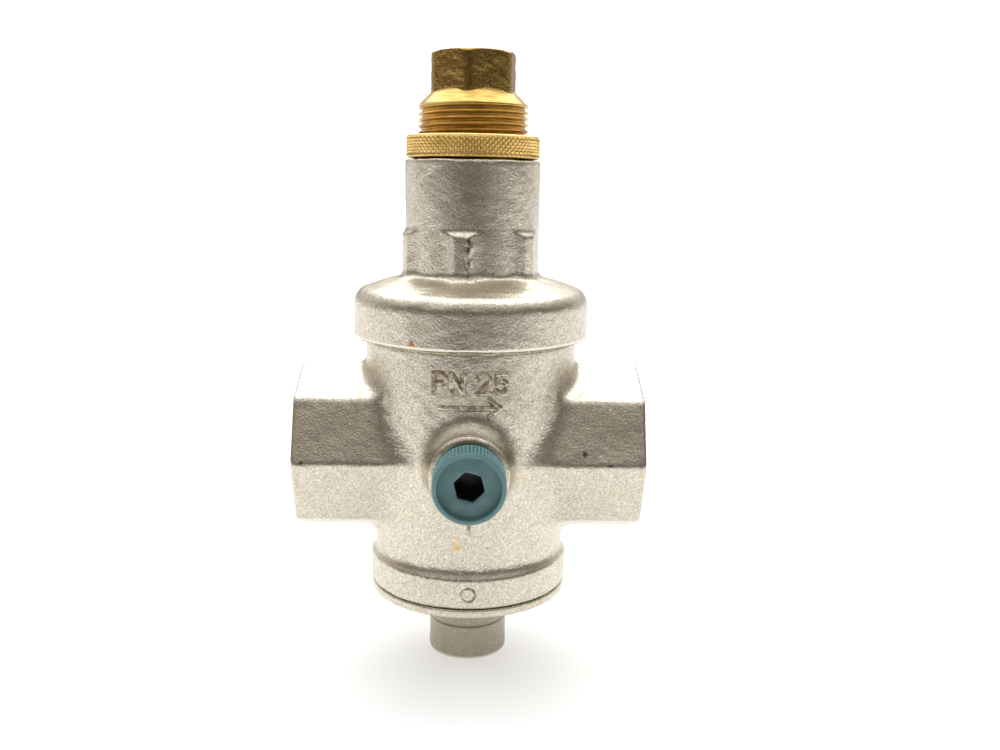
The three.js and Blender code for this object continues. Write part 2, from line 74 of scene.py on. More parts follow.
BODY_LOW, BODY_HIGH = span("valve_body")
BONNET_LOW, BONNET_HIGH = span("bonnet")
COVER_HIGH = span("bottom_cover")[1]
SCREW_LOW, SCREW_HIGH = span("adjusting_screw")
RING_LOW, RING_HIGH = span("lock_ring")
WASHER_LOW, WASHER_HIGH = span("lock_ring_washer")
PLUG_LOW, PLUG_HIGH = span("gauge_plug")
SPRING_LOW, SPRING_HIGH = span("main_spring")
CAP_HIGH = span("spring_cap")[1]

PORT_Z = (PLUG_LOW[2] + PLUG_HIGH[2]) / 2
PORT_HALF = BODY_HIGH[0]
PORT_FLATS = 41
PORT_THREAD = {"major": 16.62, "minor": 15.15, "pitch": 2.309}
PORT_SLEEVE = {"r": 17.2, "end": 25}
PORT_MOUTH = {"wider": 0.8, "deep": 2}
PASSAGE = {"r": 13, "start": 8}
CHAMBER_R = 19
FLOORS = {"lower": 54.7, "upper": 58.7}
SEAT_HOLE_R = 10
BARREL_FOOT_R = 24.8
BARREL_R = 27.2
BARREL_WIDENS = (31, 61)
BARREL_TOP = 86.2
NECK_R = 26.5
NECK_MIDDLE = 85
FLANGE_R = 26.05
FLANGE_TOP = 28.8
FLANGE_FILLET = 4
COVER_BORE = {"r": 23.2, "top": 29.3}
BOSS_R = 9.8
GAUGE_BORE = {"r": 7.6, "end": 21}
GAUGE_THREAD = {"major": 7.45, "minor": 6.7, "pitch": 1.337}

BELL_R = BONNET_HIGH[0]
DOME_R = (0, 16, 18.4, 22.1, 25.2, 28, BELL_R, 34)
DOME_Z = (102.6, 102.4, 101.9, 100.9, 99.9, 98.9, 97.9, 96)
BONNET_HEX = {"flats": 33.3, "corner": 18.3, "low": 98, "high": 113.8}
BONNET_BARREL_R = 17.1
BONNET_BORE_R = 14.3
BONNET_SKIRT = {"r": 27.2, "top": 95.7}
SPRING_CHAMBER = {"r": 20, "top": 97.5}
FLASH = {"x": -0.8, "y": -17.95, "r": 0.5}
FLASH_WANDER = ((0.25, 1.7), (0.15, 4.1))

FOOT_R = 10.4
FOOT_TOP = 18.8
STEM_HOLE_R = 3.3
SCREW_R = 14
SCREW_PITCH = 1.5
SCREW_CONE = ((13.8, 144.4), (9.5, 148.7))
SCREW_HEX = {"flats": 20.1, "corner": 11.15}
HEX_TURN = math.radians(-8.3)
KNURL_TEETH = 74
PLUG_FLUTES = 60
SPRING_TURNS = 6.5
CLEARANCE = 0.3

# How rounded the castings' edges are, and how broad the fillets between their parts
BODY_EDGES = {"barrel": 0.5, "flange": 0.25, "octagon": 0.8, "boss": 1.1, "top": 0.4,
              "foot": 0.5, "port": 0.7, "bore": 0.3}
BODY_FILLETS = {"port": 3, "boss": 5}
BONNET_EDGES = {"bell": 3, "hexagon": 0.2, "barrel": 0.9, "chamfer": 0.25, "rim": 0.4, "bore": 0.3}
BONNET_FILLETS = {"flash": 0.5, "hexagon": 2, "barrel": 0.3}

# Slopes that keep a distance true beside a leaning wall
WALL_SLOPE, DOME_SLOPE = 0.8, 0.95

# Bumps of the rough surfaces, in layers of (height, size, seed)
BODY_SKIN = ((0.06, 9, 3), (0.025, 3, 8))
BONNET_SKIN = ((0.06, 8, 5), (0.02, 2.5, 6))
COVER_SKIN = ((0.05, 6, 12), (0.02, 2, 13))
FORGED_SKIN = ((0.07, 3.5, 21), (0.03, 1.3, 22))
MARK_SKIN = ((0.05, 2.1, 31),)

BODY_STEP, BONNET_STEP = 0.68, 0.45


# Meshes

def smooth_max(a, b, blend):
    mix = np.clip(0.5 + 0.5 * (a - b) / blend, 0, 1)
    return b + (a - b) * mix + blend * mix * (1 - mix)


def smooth_min(a, b, blend):
    return -smooth_max(-a, -b, blend)


def lumps(x, y, z, size, seed):
    """A smooth uneven field between about -1 and 1, with bumps about size across."""
    rng = np.random.default_rng(seed)
    waves = 6
    total = 0
    for _ in range(waves):
        way = rng.normal(size=3)
        way *= TURN / size / np.linalg.norm(way) * rng.uniform(0.6, 1.4)
        total = total + np.sin(way[0] * x + way[1] * y + way[2] * z + rng.uniform(0, TURN))
    return total / (waves / 2)


def uneven(value, x, y, z, skin):
    """A distance or a radius with the bumps of a skin added."""
    for height, size, seed in skin:
        value = value + height * lumps(x, y, z, size, seed)
    return value


def eased(share):
    """A share from 0 to 1 that starts and ends gently."""
    return share * share * (3 - 2 * share)


def within(z, low, high, rise, fall):
    """1 between two heights and 0 outside them, rising and falling over given lengths."""
    return np.clip((z - low) / rise, 0, 1) * np.clip((high - z) / fall, 0, 1)


def surface_net(values, low, step):
    """Points and quads of the surface where a grid of distances crosses zero."""
    shape = np.array(values.shape) - 1
    sums = np.zeros((int(shape.prod()), 4))
    quads = []
    for axis in range(3):
        side, other = (axis + 1) % 3, (axis + 2) % 3
        near = np.take(values, range(values.shape[axis] - 1), axis)
        far = np.take(values, range(1, values.shape[axis]), axis)
        edge = np.argwhere((near < 0) != (far < 0))
        start, end = near[tuple(edge.T)], far[tuple(edge.T)]
        crossing = edge.astype(float)
        crossing[:, axis] += start / (start - end)
        corners = []
        for back, down in ((0, 0), (1, 0), (1, 1), (0, 1)):
            cell = edge.copy()
            cell[:, side] -= back
            cell[:, other] -= down
            flat = np.ravel_multi_index(cell.T, shape)
            corners.append(flat)
            for k in range(3):
                sums[:, k] += np.bincount(flat, crossing[:, k], len(sums))
            sums[:, 3] += np.bincount(flat, minlength=len(sums))
        quad = np.stack(corners, 1)
        quad[start > 0] = quad[start > 0][:, ::-1]
        quads.append(quad)
    used, faces = np.unique(np.concatenate(quads), return_inverse=True)
    points = sums[used, :3] / sums[used, 3:] * step + low
    return points, faces.reshape(-1, 4).tolist()


def solid_from(distance, low, high, step):
    """Points and quads of the surface of a distance function, between two corners."""
    margin, nudge, reach = 2.5 * step, step / 8, 0.4 * step
    least_slope = 0.5
    low = np.array(low) - margin
    axes = [np.arange(a, b + margin, step) for a, b in zip(low, high)]
    values = distance(*np.ix_(*axes)).astype(np.float32)
    points, faces = surface_net(values, low, step)
    for _ in range(2):
        slope = np.zeros_like(points)
        for k in range(3):
            shift = np.zeros(3)
            shift[k] = nudge
            ahead = distance(*(points + shift).T)
            behind = distance(*(points - shift).T)
            slope[:, k] = (ahead - behind) / (2 * nudge)
        steepness = np.maximum((slope ** 2).sum(1), least_slope ** 2)
        move = np.clip(distance(*points.T) / steepness, -reach, reach)
        points -= slope * move[:, None]
    return points, faces


def softened(corners, cut, closed=False, steps=4):
    """An outline with each corner replaced by a short curve, cut from either side."""
    corners = [np.array(c, float) for c in corners]
    count = len(corners)
    out = []
    for i, corner in enumerate(corners):
        if not closed and i in (0, count - 1):
            out.append(corner)
            continue
        ends = []
        for other in (corners[i - 1], corners[(i + 1) % count]):
            way = other - corner
            ends.append(corner + way * min(cut / np.linalg.norm(way), 0.45))
        for s in np.linspace(0, 1, steps):
            out.append((1 - s) ** 2 * ends[0] + 2 * s * (1 - s) * corner + s * s * ends[1])
    return out


def dense(outline, step, closed=False):
    """An outline with points added, so that none are more than step apart."""
    outline = list(outline)
    if closed:
        outline.append(outline[0])
    out = []
    for a, b in zip(outline, outline[1:]):
        a, b = np.array(a, float), np.array(b, float)
        count = max(1, math.ceil(np.linalg.norm(b - a) / step))
        out += [a + (b - a) * i / count for i in range(count)]
    if not closed:
        out.append(np.array(outline[-1], float))
    return out


def grid_quads(index, closed=(0, 0)):
    """Quads between neighbours in a grid of point numbers, which may close on itself each way."""
    index = np.pad(index, [(0, more) for more in closed], mode="wrap")
    corners = (index[:-1, :-1], index[:-1, 1:], index[1:, 1:], index[1:, :-1])
    return np.stack(corners, -1).reshape(-1, 4).tolist()


def revolved(profile, sides, shape=None):
    """Points and faces of a profile of (radius, height) turned about Z, up its outer side.

    A profile whose ends are on the axis closes there, and any other closes on itself.
    """
    profile = np.array(profile, float)
    poles = profile[0, 0] == 0
    rows = profile[1:-1] if poles else profile
    angle = np.arange(sides) * TURN / sides
    r = rows[:, :1] + 0 * angle
    z = rows[:, 1:] + 0 * angle
    angle = angle + 0 * r
    if shape:
        r, z = shape(r, z, angle)
    points = np.stack([r * np.sin(angle), -r * np.cos(angle), z], -1).reshape(-1, 3)
    count = len(rows)
    index = np.arange(count * sides).reshape(count, sides)
    faces = grid_quads(index, (0 if poles else 1, 1))
    if poles:
        ends = [[0, 0, profile[0, 1]], [0, 0, profile[-1, 1]]]
        points = np.concatenate([points, ends])
        bottom, top = len(points) - 2, len(points) - 1
        last = (count - 1) * sides
        for k in range(sides):
            after = (k + 1) % sides
            faces.append([bottom, after, k])
            faces.append([top, last + k, last + after])
    return points, faces


def facing_front(points):
    """Turns a piece made about +Z to point along -Y, on the port axis."""
    x, y, z = np.asarray(points).T
    return np.stack([x, -z, y + PORT_Z], -1)


def facing_side(points, side):
    """Turns a piece made about +Z to point along +X or -X, on the port axis."""
    x, y, z = np.asarray(points).T
    return np.stack([side * z, side * y, PORT_Z - x], -1)


def meshed(name, points, faces, material):
    """A mesh with its points given in millimetres."""
    mesh = bpy.data.meshes.new(name)
    mesh.from_pydata((np.asarray(points) * MM).tolist(), [], faces)
    mesh.materials.append(material)
    return mesh


def added(name, data):
    """A new object in the scene."""
    obj = bpy.data.objects.new(name, data)
    bpy.context.scene.collection.objects.link(obj)
    return obj


def piece(name, shape, body, slot, material, *nodes, sharp=None):
    """A mesh object that rides on a body and stands for CAD nodes."""
    mesh = meshed(name, *shape, material)
    mesh.shade_smooth()
    if sharp:
        mesh.set_sharp_from_angle(angle=math.radians(sharp))
    obj = added(name, mesh)
    if body:
        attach(obj, body)
    if nodes:
        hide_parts(*nodes)
    return obj


def ridge(phase):
    """A triangle wave: 0 at whole numbers and 1 halfway between."""
    return 1 - 2 * np.abs(phase - np.floor(phase) - 0.5)


def thread_groove(z, angle, pitch, steep, crest):
    """How deep a one-start thread is cut, from 0 on its crest to 1 at its root."""
    return np.clip(steep * ridge(z / pitch - angle / TURN) - crest, 0, 1)


def hexagon_r(angle, flats, corner, start=0, worn=0.4):
    """Radius of a hexagon with worn corners. A corner is at start."""
    sixth = TURN / 6
    off = (angle - start) % sixth - sixth / 2
    return smooth_min(flats / 2 / np.cos(off), corner, worn)


# Cast shapes, as distance functions

def body_distance(x, y, z):
    """The barrel, flange, ports and boss in one, with the hollow cut out of them."""
    r = np.hypot(x, y)
    barrel = smooth_max((r - barrel_wall(z)) * WALL_SLOPE, z - BARREL_TOP, BODY_EDGES["barrel"])
    flange = smooth_max(r - FLANGE_R, z - FLANGE_TOP, BODY_EDGES["flange"])
    outside = np.minimum(barrel, flange)
    outside = smooth_min(outside, octagon_bar(x, y, z), BODY_FILLETS["port"])
    boss = smooth_max(np.hypot(x, z - PORT_Z) - BOSS_R, BODY_LOW[1] - y, BODY_EDGES["boss"])
    boss = np.maximum(boss, y)
    outside = smooth_min(outside, boss, BODY_FILLETS["boss"])
    outside = uneven(outside, x, y, z, BODY_SKIN)
    outside = smooth_max(outside, z - BARREL_TOP, BODY_EDGES["top"])
    neck = np.maximum(r - NECK_R, np.abs(z - NECK_MIDDLE) - BODY_HIGH[2] + NECK_MIDDLE)
    outside = np.minimum(outside, neck)
    outside = smooth_max(outside, BODY_LOW[2] - z, BODY_EDGES["foot"])
    outside = smooth_max(outside, np.abs(x) - PORT_HALF, BODY_EDGES["port"])
    return smooth_max(outside, -body_hollow(x, y, z), BODY_EDGES["bore"])


def barrel_wall(z):
    """The barrel's radius: wide at the top, narrower below the ports, and flared at the flange."""
    start, end = BARREL_WIDENS
    rise = np.clip((z - start) / (end - start), 0, 1)
    wall = BARREL_FOOT_R + (BARREL_R - BARREL_FOOT_R) * eased(rise)
    deep = 1 - (FLANGE_R - BARREL_FOOT_R) / FLANGE_FILLET
    fillet_top = FLANGE_TOP + FLANGE_FILLET * math.sqrt(1 - deep * deep)
    drop = np.clip(fillet_top - z, 0, fillet_top - FLANGE_TOP)
    return wall + FLANGE_FILLET - np.sqrt(FLANGE_FILLET ** 2 - drop ** 2)


def octagon_bar(x, y, z):
    """The two ports as one octagonal bar with a corner on top and one in front."""
    height = z - PORT_Z
    tilts = [TURN / 8 * (k + 0.5) for k in range(4)]
    flats = [np.abs(y * math.cos(tilt) + height * math.sin(tilt)) - PORT_FLATS / 2
             for tilt in tilts]
    bar = flats[0] + 0 * x
    for flat in flats[1:]:
        bar = smooth_max(bar, flat, BODY_EDGES["octagon"])
    return bar


def body_hollow(x, y, z):
    """The bores, passages and chambers inside the body."""
    r = np.hypot(x, y)
    from_port = np.hypot(y, z - PORT_Z)
    reach = np.abs(x)
    bore = np.maximum(from_port - PORT_SLEEVE["r"], PORT_SLEEVE["end"] - reach)
    mouth = from_port - (PORT_SLEEVE["r"] - PORT_HALF + PORT_MOUTH["wider"] + reach)
    bore = np.minimum(bore, np.maximum(mouth, PORT_HALF - PORT_MOUTH["deep"] - reach))
    passage = np.maximum(from_port - PASSAGE["r"], PASSAGE["start"] - reach)
    passage = np.where(x < 0, np.maximum(passage, z - FLOORS["lower"]),
                       np.maximum(passage, FLOORS["upper"] - z))
    lower = np.maximum(r - CHAMBER_R, z - FLOORS["lower"])
    upper = np.maximum(r - CHAMBER_R, FLOORS["upper"] - z)
    cover = np.maximum(r - COVER_BORE["r"], z - COVER_BORE["top"])
    gauge = np.maximum(np.hypot(x, z - PORT_Z) - GAUGE_BORE["r"], y + GAUGE_BORE["end"])
    parts = (bore, passage, lower, upper, cover, gauge, r - SEAT_HOLE_R)
    return functools.reduce(np.minimum, parts)


def bonnet_distance(x, y, z):
    """The bell, the hexagon on it and the barrel above, all hollow."""
    r = np.hypot(x, y)
    dome = (z - np.interp(r, DOME_R, DOME_Z)) * DOME_SLOPE
    bell = smooth_max(r - BELL_R, dome, BONNET_EDGES["bell"])
    hexagon = r - BONNET_HEX["corner"] + 0 * z
    for k in range(3):
        tilt = HEX_TURN + TURN / 12 + k * TURN / 6
        flat = np.abs(x * math.sin(tilt) - y * math.cos(tilt)) - BONNET_HEX["flats"] / 2
        hexagon = smooth_max(hexagon, flat, BONNET_EDGES["hexagon"])
    hexagon = np.maximum(hexagon, BONNET_HEX["low"] - z)
    hexagon = smooth_min(hexagon, flash_ridge(x, y, z), BONNET_FILLETS["flash"])
    outside = smooth_min(bell, hexagon, BONNET_FILLETS["hexagon"])
    chamfer = (z + r - BONNET_HEX["high"] - BONNET_BARREL_R) * math.sqrt(0.5)
    outside = smooth_max(outside, chamfer, BONNET_EDGES["chamfer"])
    barrel = smooth_max(r - BONNET_BARREL_R, z - BONNET_HIGH[2], BONNET_EDGES["barrel"])
    outside = smooth_min(outside, barrel, BONNET_FILLETS["barrel"])
    outside = uneven(outside, x, y, z, BONNET_SKIN)
    outside = smooth_max(outside, BONNET_LOW[2] - z, BONNET_EDGES["rim"])
    skirt = np.maximum(r - BONNET_SKIRT["r"], z - BONNET_SKIRT["top"])
    chamber = np.maximum(r - SPRING_CHAMBER["r"], z - SPRING_CHAMBER["top"])
    hollow = np.minimum(np.minimum(skirt, chamber), r - BONNET_BORE_R)
    return smooth_max(outside, -hollow, BONNET_EDGES["bore"])


def flash_ridge(x, y, z):
    """The ragged parting line left on a corner of the bonnet's hexagon."""
    wander = sum(size * np.sin(rate * z) for size, rate in FLASH_WANDER)
    return np.hypot(x - FLASH["x"] + wander, y - FLASH["y"]) - FLASH["r"] + 0 * z


# Materials

METAL = {"Metallic": 1.0}
PAPER = {"Roughness": 0.8, "Specular IOR Level": 0.2, "Emission Strength": 1.0}


class Look:
    """A Principled material being built, with textures measured in millimetres."""

    def __init__(self, name, sockets):
        self.material = bpy.data.materials.new(name)
        self.material.use_nodes = True
        self.tree = self.material.node_tree
        self.shader = self.tree.nodes["Principled BSDF"]
        for socket, value in sockets.items():
            self.shader.inputs[socket].default_value = value
        metres = self.add("ShaderNodeTexCoord").outputs["Object"]
        place = self.add("ShaderNodeMapping", Vector=metres)
        place.inputs["Scale"].default_value = (1 / MM,) * 3
        self.place = place.outputs[0]

    def add(self, kind, **inputs):
        node = self.tree.nodes.new(kind)
        for name, value in inputs.items():
            self.feed(node.inputs[name.replace("_", " ")], value)
        return node

    def feed(self, socket, value):
        if isinstance(value, bpy.types.NodeSocket):
            self.tree.links.new(value, socket)
        else:
            socket.default_value = value

    def noise(self, size, detail=3, stretch=None, rough=0.5):
        """Noise between 0 and 1. A stretch below 1 draws its features out along that axis."""
        place = self.place
        if stretch:
            place = self.add("ShaderNodeMapping", Vector=place, Scale=stretch).outputs[0]
        return self.add("ShaderNodeTexNoise", Vector=place, Scale=1 / size, Detail=detail,
                        Roughness=rough).outputs[0]

    def cells(self, size, output="Distance"):
        """An uneven mosaic: the distance to each cell's point, or a random Color for each cell."""
        return self.add("ShaderNodeTexVoronoi", Vector=self.place, Scale=1 / size).outputs[output]

    def axis(self, letter):
        return self.add("ShaderNodeSeparateXYZ", Vector=self.place).outputs[letter]

    def edges(self):
        return self.add("ShaderNodeNewGeometry").outputs["Pointiness"]

    def math(self, kind, a, b=0.0):
        node = self.tree.nodes.new("ShaderNodeMath")
        node.operation = kind
        self.feed(node.inputs[0], a)
        self.feed(node.inputs[1], b)
        return node.outputs[0]

    def between(self, value, low, high, start=0.0, end=1.0):
        """Goes from start to end while the value goes from low to high."""
        node = self.add("ShaderNodeMapRange", Value=value, From_Min=low, From_Max=high,
                        To_Min=start, To_Max=end)
        return node.outputs[0]

    def mix(self, share, first, second):
        """Mixes two colours or two normals."""
        node = self.tree.nodes.new("ShaderNodeMix")
        node.data_type = "RGBA"
        self.feed(node.inputs["Factor"], share)
        for socket, value in ((node.inputs[6], first), (node.inputs[7], second)):
            self.feed(socket, value if isinstance(value, bpy.types.NodeSocket) else (*value, 1))
        return node.outputs[2]

    def spot(self, at, size):
        """1 near a point and 0 beyond size from it, with a ragged edge."""
        node = self.tree.nodes.new("ShaderNodeVectorMath")
        node.operation = "DISTANCE"
        self.feed(node.inputs[0], self.place)
        self.feed(node.inputs[1], at)
        ragged = self.between(self.noise(0.9, 3), 0.3, 0.7, -0.5 * size, 0.5 * size)
        return self.between(self.math("ADD", node.outputs["Value"], ragged), size, 0.4 * size)

    def bump(self, height, depth, under=None):
        node = self.add("ShaderNodeBump", Height=height, Distance=depth * MM, Strength=1.0)
        if under:
            self.tree.links.new(under, node.inputs["Normal"])
        return node.outputs[0]

    def finish(self, color, roughness=None, normal=None):
        self.tree.links.new(color, self.shader.inputs["Base Color"])
        if roughness:
            self.tree.links.new(roughness, self.shader.inputs["Roughness"])
        if normal:
            self.tree.links.new(normal, self.shader.inputs["Normal"])
        return self.material


# Colours, each as red, green and blue
NICKEL_DARK, NICKEL_LIGHT = (0.37, 0.325, 0.245), (0.87, 0.82, 0.70)
NICKEL_TINTS = ((0.71, 0.66, 0.545), (0.63, 0.565, 0.455))
NICKEL_TURNED = (0.74, 0.70, 0.60)
YELLOWED, PIT_BROWN, GRIME_AND_SHADE = (0.60, 0.42, 0.20), (0.25, 0.18, 0.12), (0.27, 0.20, 0.14)
# The second colour on the next line is painted shade, laid over the foot
FLECK_WHITE, FOOT_PAINTED_SHADE = (0.98, 0.96, 0.90), (0.22, 0.19, 0.14)
BRASS_DARK, BRASS_LIGHT = (0.20, 0.10, 0.022), (0.70, 0.45, 0.135)
FORGED_DARK, FORGED_LIGHT = (0.17, 0.100, 0.025), (0.50, 0.325, 0.10)
# Painted shade for the plug's socket
SOCKET_PAINTED_SHADE = (0.006, 0.010, 0.010)
SPOT_BLACK, RIDGE_STAIN = (0.14, 0.12, 0.08), (0.24, 0.16, 0.11)

# Single stains on the front: where, how large and which colour
STAINS = (
    ((-13.9, -26.5, 87.8), 1.3, (0.42, 0.22, 0.06)),
    ((-2.7, -24.9, 37.0), 1.1, (0.66, 0.46, 0.20)),
    ((-2.8, -25.0, 38.3), 0.9, (0.76, 0.58, 0.32)),
    ((-2.9, -25.1, 40.0), 0.7, (0.72, 0.56, 0.32)),
    ((28.6, -20.8, 60.0), 0.9, SPOT_BLACK),
    ((34.8, -22.0, 57.3), 0.7, SPOT_BLACK),
    ((-41.2, -22.0, 57.3), 0.8, (0.20, 0.16, 0.11)),
    ((-0.8, -18.3, 111.4), 1.1, RIDGE_STAIN),
    ((-0.8, -18.3, 109.6), 0.8, RIDGE_STAIN),
    ((-0.6, -18.3, 106.4), 0.5, RIDGE_STAIN),
    ((-0.9, -18.3, 103.2), 0.5, RIDGE_STAIN),
)

# Sizes of the features in the textures
NICKEL_SIZES = {"grain": 0.5, "speckle": 0.36, "tint": 8, "yellow": 5, "pit": 1.7, "pitted": 4.5,
                "fleck": 2.3, "flecked": 6, "grime_and_shade": 1.5, "line": 0.35}
BRASS_SIZES = {"line": 0.3, "patch": 3.5, "grain": 0.45}
STEEL_SIZES = {"line": 0.25, "patch": 4}
PLASTIC_SIZES = {"grain": 0.25, "patch": 3.5}


def nickel(name, machined=None, warm=0.0, soiled_and_shaded=0.0, painted_shade=None):
    """Sand-blasted cast brass under matt nickel, with stains, and bright where machined."""
    look = Look(name, METAL)
    size = NICKEL_SIZES
    grain = look.noise(size["grain"], 2, rough=0.6)
    fine = look.math("MULTIPLY", look.cells(size["speckle"], "Color"),
                     look.between(grain, 0.25, 0.6, 0.35, 1.3))
    color = look.mix(fine, NICKEL_DARK, NICKEL_LIGHT)
    tint = look.mix(look.between(look.noise(size["tint"], 3), 0.35, 0.7), *NICKEL_TINTS)
    color = look.mix(0.35 + warm, color, tint)
    yellow = look.between(look.noise(size["yellow"], 4), 0.64, 0.76)
    color = look.mix(look.math("MULTIPLY", yellow, 0.35), color, YELLOWED)
    pits = look.between(look.cells(size["pit"]), 0.14, 0.02)
    pits = look.math("MULTIPLY", pits, look.between(look.noise(size["pitted"]), 0.52, 0.60))
    color = look.mix(look.math("MULTIPLY", pits, 0.8), color, PIT_BROWN)
    flecks = look.between(look.cells(size["fleck"]), 0.13, 0.06)
    flecks = look.math("MULTIPLY", flecks, look.between(look.noise(size["flecked"]), 0.50, 0.58))
    color = look.mix(flecks, color, FLECK_WHITE)
    # Dark patches on the marks, partly dirt and partly painted shade that gives the letters their
    # contrast
    if soiled_and_shaded:
        grime_and_shade = look.between(look.noise(size["grime_and_shade"], 3), 0.44, 0.60, 0, soiled_and_shaded)
        color = look.mix(grime_and_shade, color, GRIME_AND_SHADE)
    # Painted shade: the foot is darkened where this share is given
    if painted_shade:
        color = look.mix(painted_shade(look), color, FOOT_PAINTED_SHADE)
    for at, across, shade in STAINS:
        color = look.mix(look.spot(at, across), color, shade)
    rough = look.between(fine, 0, 1, 0.38, 0.28)
    normal = look.bump(pits, -0.10, look.bump(grain, 0.11))
    if machined:
        share = machined(look)
        lines = look.noise(size["line"], 2, (0.05, 0.05, 1))
        color = look.mix(share, color, NICKEL_TURNED)
        rough = look.math("ADD", rough, look.math("MULTIPLY", share, -0.08))
        normal = look.mix(share, normal, look.bump(lines, 0.02))
    return look.finish(color, rough, normal)


def brass(name, forged=None, dark=BRASS_DARK, light=BRASS_LIGHT):
    """Machined brass with fine turning lines, and a darker forged skin where given."""
    look = Look(name, METAL)
    size = BRASS_SIZES
    lines = look.noise(size["line"], 3, (0.06, 0.06, 1))
    patches = look.between(look.noise(size["patch"], 3), 0.3, 0.7)
    color = look.mix(patches, light, [c * 0.82 for c in light])
    color = look.mix(look.math("MULTIPLY", look.between(lines, 0.45, 0.7), 0.45), color, dark)
    rough = look.between(lines, 0.3, 0.7, 0.24, 0.38)
    normal = look.bump(lines, 0.04)
    if forged:
        share = forged(look)
        grain = look.noise(size["grain"], 3, rough=0.6)
        skin = look.mix(look.between(grain, 0.3, 0.7), FORGED_DARK, FORGED_LIGHT)
        color = look.mix(share, color, skin)
        rough = look.math("ADD", rough, look.math("MULTIPLY", share, -0.04))
        normal = look.mix(share, normal, look.bump(grain, 0.12))
    return look.finish(color, rough, normal)


def plastic(name, dark, light, roughness, hollow=None, worn=None):
    """Moulded plastic or rubber: two near shades, a fine texture, edges lighter from wear unless
    painted light is given instead, and painted shade in a given hollow.
    """
    look = Look(name, {})
    fine = look.noise(PLASTIC_SIZES["grain"], 3)
    patches = look.between(look.noise(PLASTIC_SIZES["patch"], 4), 0.3, 0.7)
    color = look.mix(patches, dark, light)
    # Painted light where it is given, and otherwise edges lighter from wear
    edge_wear_and_painted_light = worn(look) if worn else look.between(look.edges(), 0.52, 0.60, 0, 0.45)
    color = look.mix(edge_wear_and_painted_light, color, [min(1, 1.75 * c) for c in light])
    if hollow:
        # Painted shade in the hollow
        color = look.mix(hollow(look), color, SOCKET_PAINTED_SHADE)
    rough = look.between(fine, 0.3, 0.7, roughness - 0.06, roughness + 0.08)
    return look.finish(color, rough, look.bump(fine, 0.012))


def steel(name, dark, light, roughness):
    """Turned or drawn steel with fine lines round the axis."""
    look = Look(name, METAL)
    lines = look.noise(STEEL_SIZES["line"], 3, (0.08, 0.08, 1))
    patches = look.between(look.noise(STEEL_SIZES["patch"], 3), 0.3, 0.7)
    rough = look.between(lines, 0.3, 0.7, roughness - 0.06, roughness + 0.08)
    return look.finish(look.mix(patches, dark, light), rough, look.bump(lines, 0.02))


def along_z(low, high, end=1.0):
    """A share that goes from 0 to end between two heights."""
    return lambda look: look.between(look.axis("Z"), low, high, 0, end)


def machined_ports(look):
    reach = look.math("ABSOLUTE", look.axis("X"))
    return look.between(reach, PORT_HALF - 0.5, PORT_HALF - 0.2)


def from_plug_axis(look):
    height = look.math("SUBTRACT", look.axis("Z"), PORT_Z)
    squares = look.math("ADD", look.math("MULTIPLY", look.axis("X"), look.axis("X")),
                        look.math("MULTIPLY", height, height))
    return look.math("SQRT", squares)


def shaded_plug_socket(look):
    """Painted shade, deep inside the plug's hexagon socket."""
    inside = look.between(look.axis("Y"), PLUG_LOW[1] + 2.0, PLUG_LOW[1] + 3.2)
    return look.math("MULTIPLY", inside, look.between(from_plug_axis(look), 4.6, 4.4))


def painted_light_plug_rim(look):
    """Painted light on the plug's fluted side and the front edge round its sunk face."""
    reach = from_plug_axis(look)
    rim = look.between(reach, 7.3, 7.8, 0, 0.3)
    behind = look.between(look.axis("Y"), PLUG_LOW[1] + 0.3, PLUG_LOW[1] + 0.9)
    return look.math("MAXIMUM", rim, look.math("MULTIPLY", behind, look.between(reach, 8.2, 8.6)))


machined_bell = along_z(BONNET_LOW[2] + 1.0, BONNET_LOW[2] + 0.7)
machined_cover = along_z(0.9, 0.4)
# Painted shade on the foot, below the cover plate
painted_foot_shade = along_z(FOOT_TOP + 0.1, FOOT_TOP - 0.6, 0.62)
forged_hexagon = along_z(SCREW_CONE[1][1] - 1.3, SCREW_CONE[1][1] - 0.9)

NICKEL_BODY = nickel("nickel_body", machined_ports)
NICKEL_BONNET = nickel("nickel_bonnet", machined_bell)
NICKEL_COVER = nickel("nickel_cover", machined_cover, 0.15, painted_shade=painted_foot_shade)
# The marks' dark patches are partly painted shade
NICKEL_MARKS = nickel("nickel_marks", soiled_and_shaded=0.85)
BRASS_SCREW = brass("brass_screw", forged_hexagon)
BRASS_RING = brass("brass_ring", None, (0.45, 0.27, 0.07), (0.96, 0.66, 0.23))
BRASS_INNER = brass("brass_turned")
THREAD_METAL = brass("brass_port_thread", None, (0.40, 0.31, 0.18), (0.78, 0.70, 0.54))
# The plug gets painted light on its rim and fluted side, and painted shade in its socket
TEAL = plastic("teal_plastic", (0.072, 0.155, 0.163), (0.110, 0.222, 0.228), 0.44,
               hollow=shaded_plug_socket, worn=painted_light_plug_rim)
RUBBER = plastic("black_rubber", (0.010, 0.010, 0.010), (0.022, 0.021, 0.020), 0.62)
FIBRE = plastic("black_fibre", (0.008, 0.007, 0.006), (0.020, 0.017, 0.014), 0.7)
ACETAL = plastic("white_acetal", (0.72, 0.70, 0.64), (0.83, 0.81, 0.76), 0.4)
STAINLESS = steel("stainless", (0.52, 0.53, 0.54), (0.70, 0.71, 0.72), 0.24)
SPRING_STEEL = steel("spring_steel", (0.12, 0.12, 0.13), (0.26, 0.26, 0.27), 0.34)


# Pieces

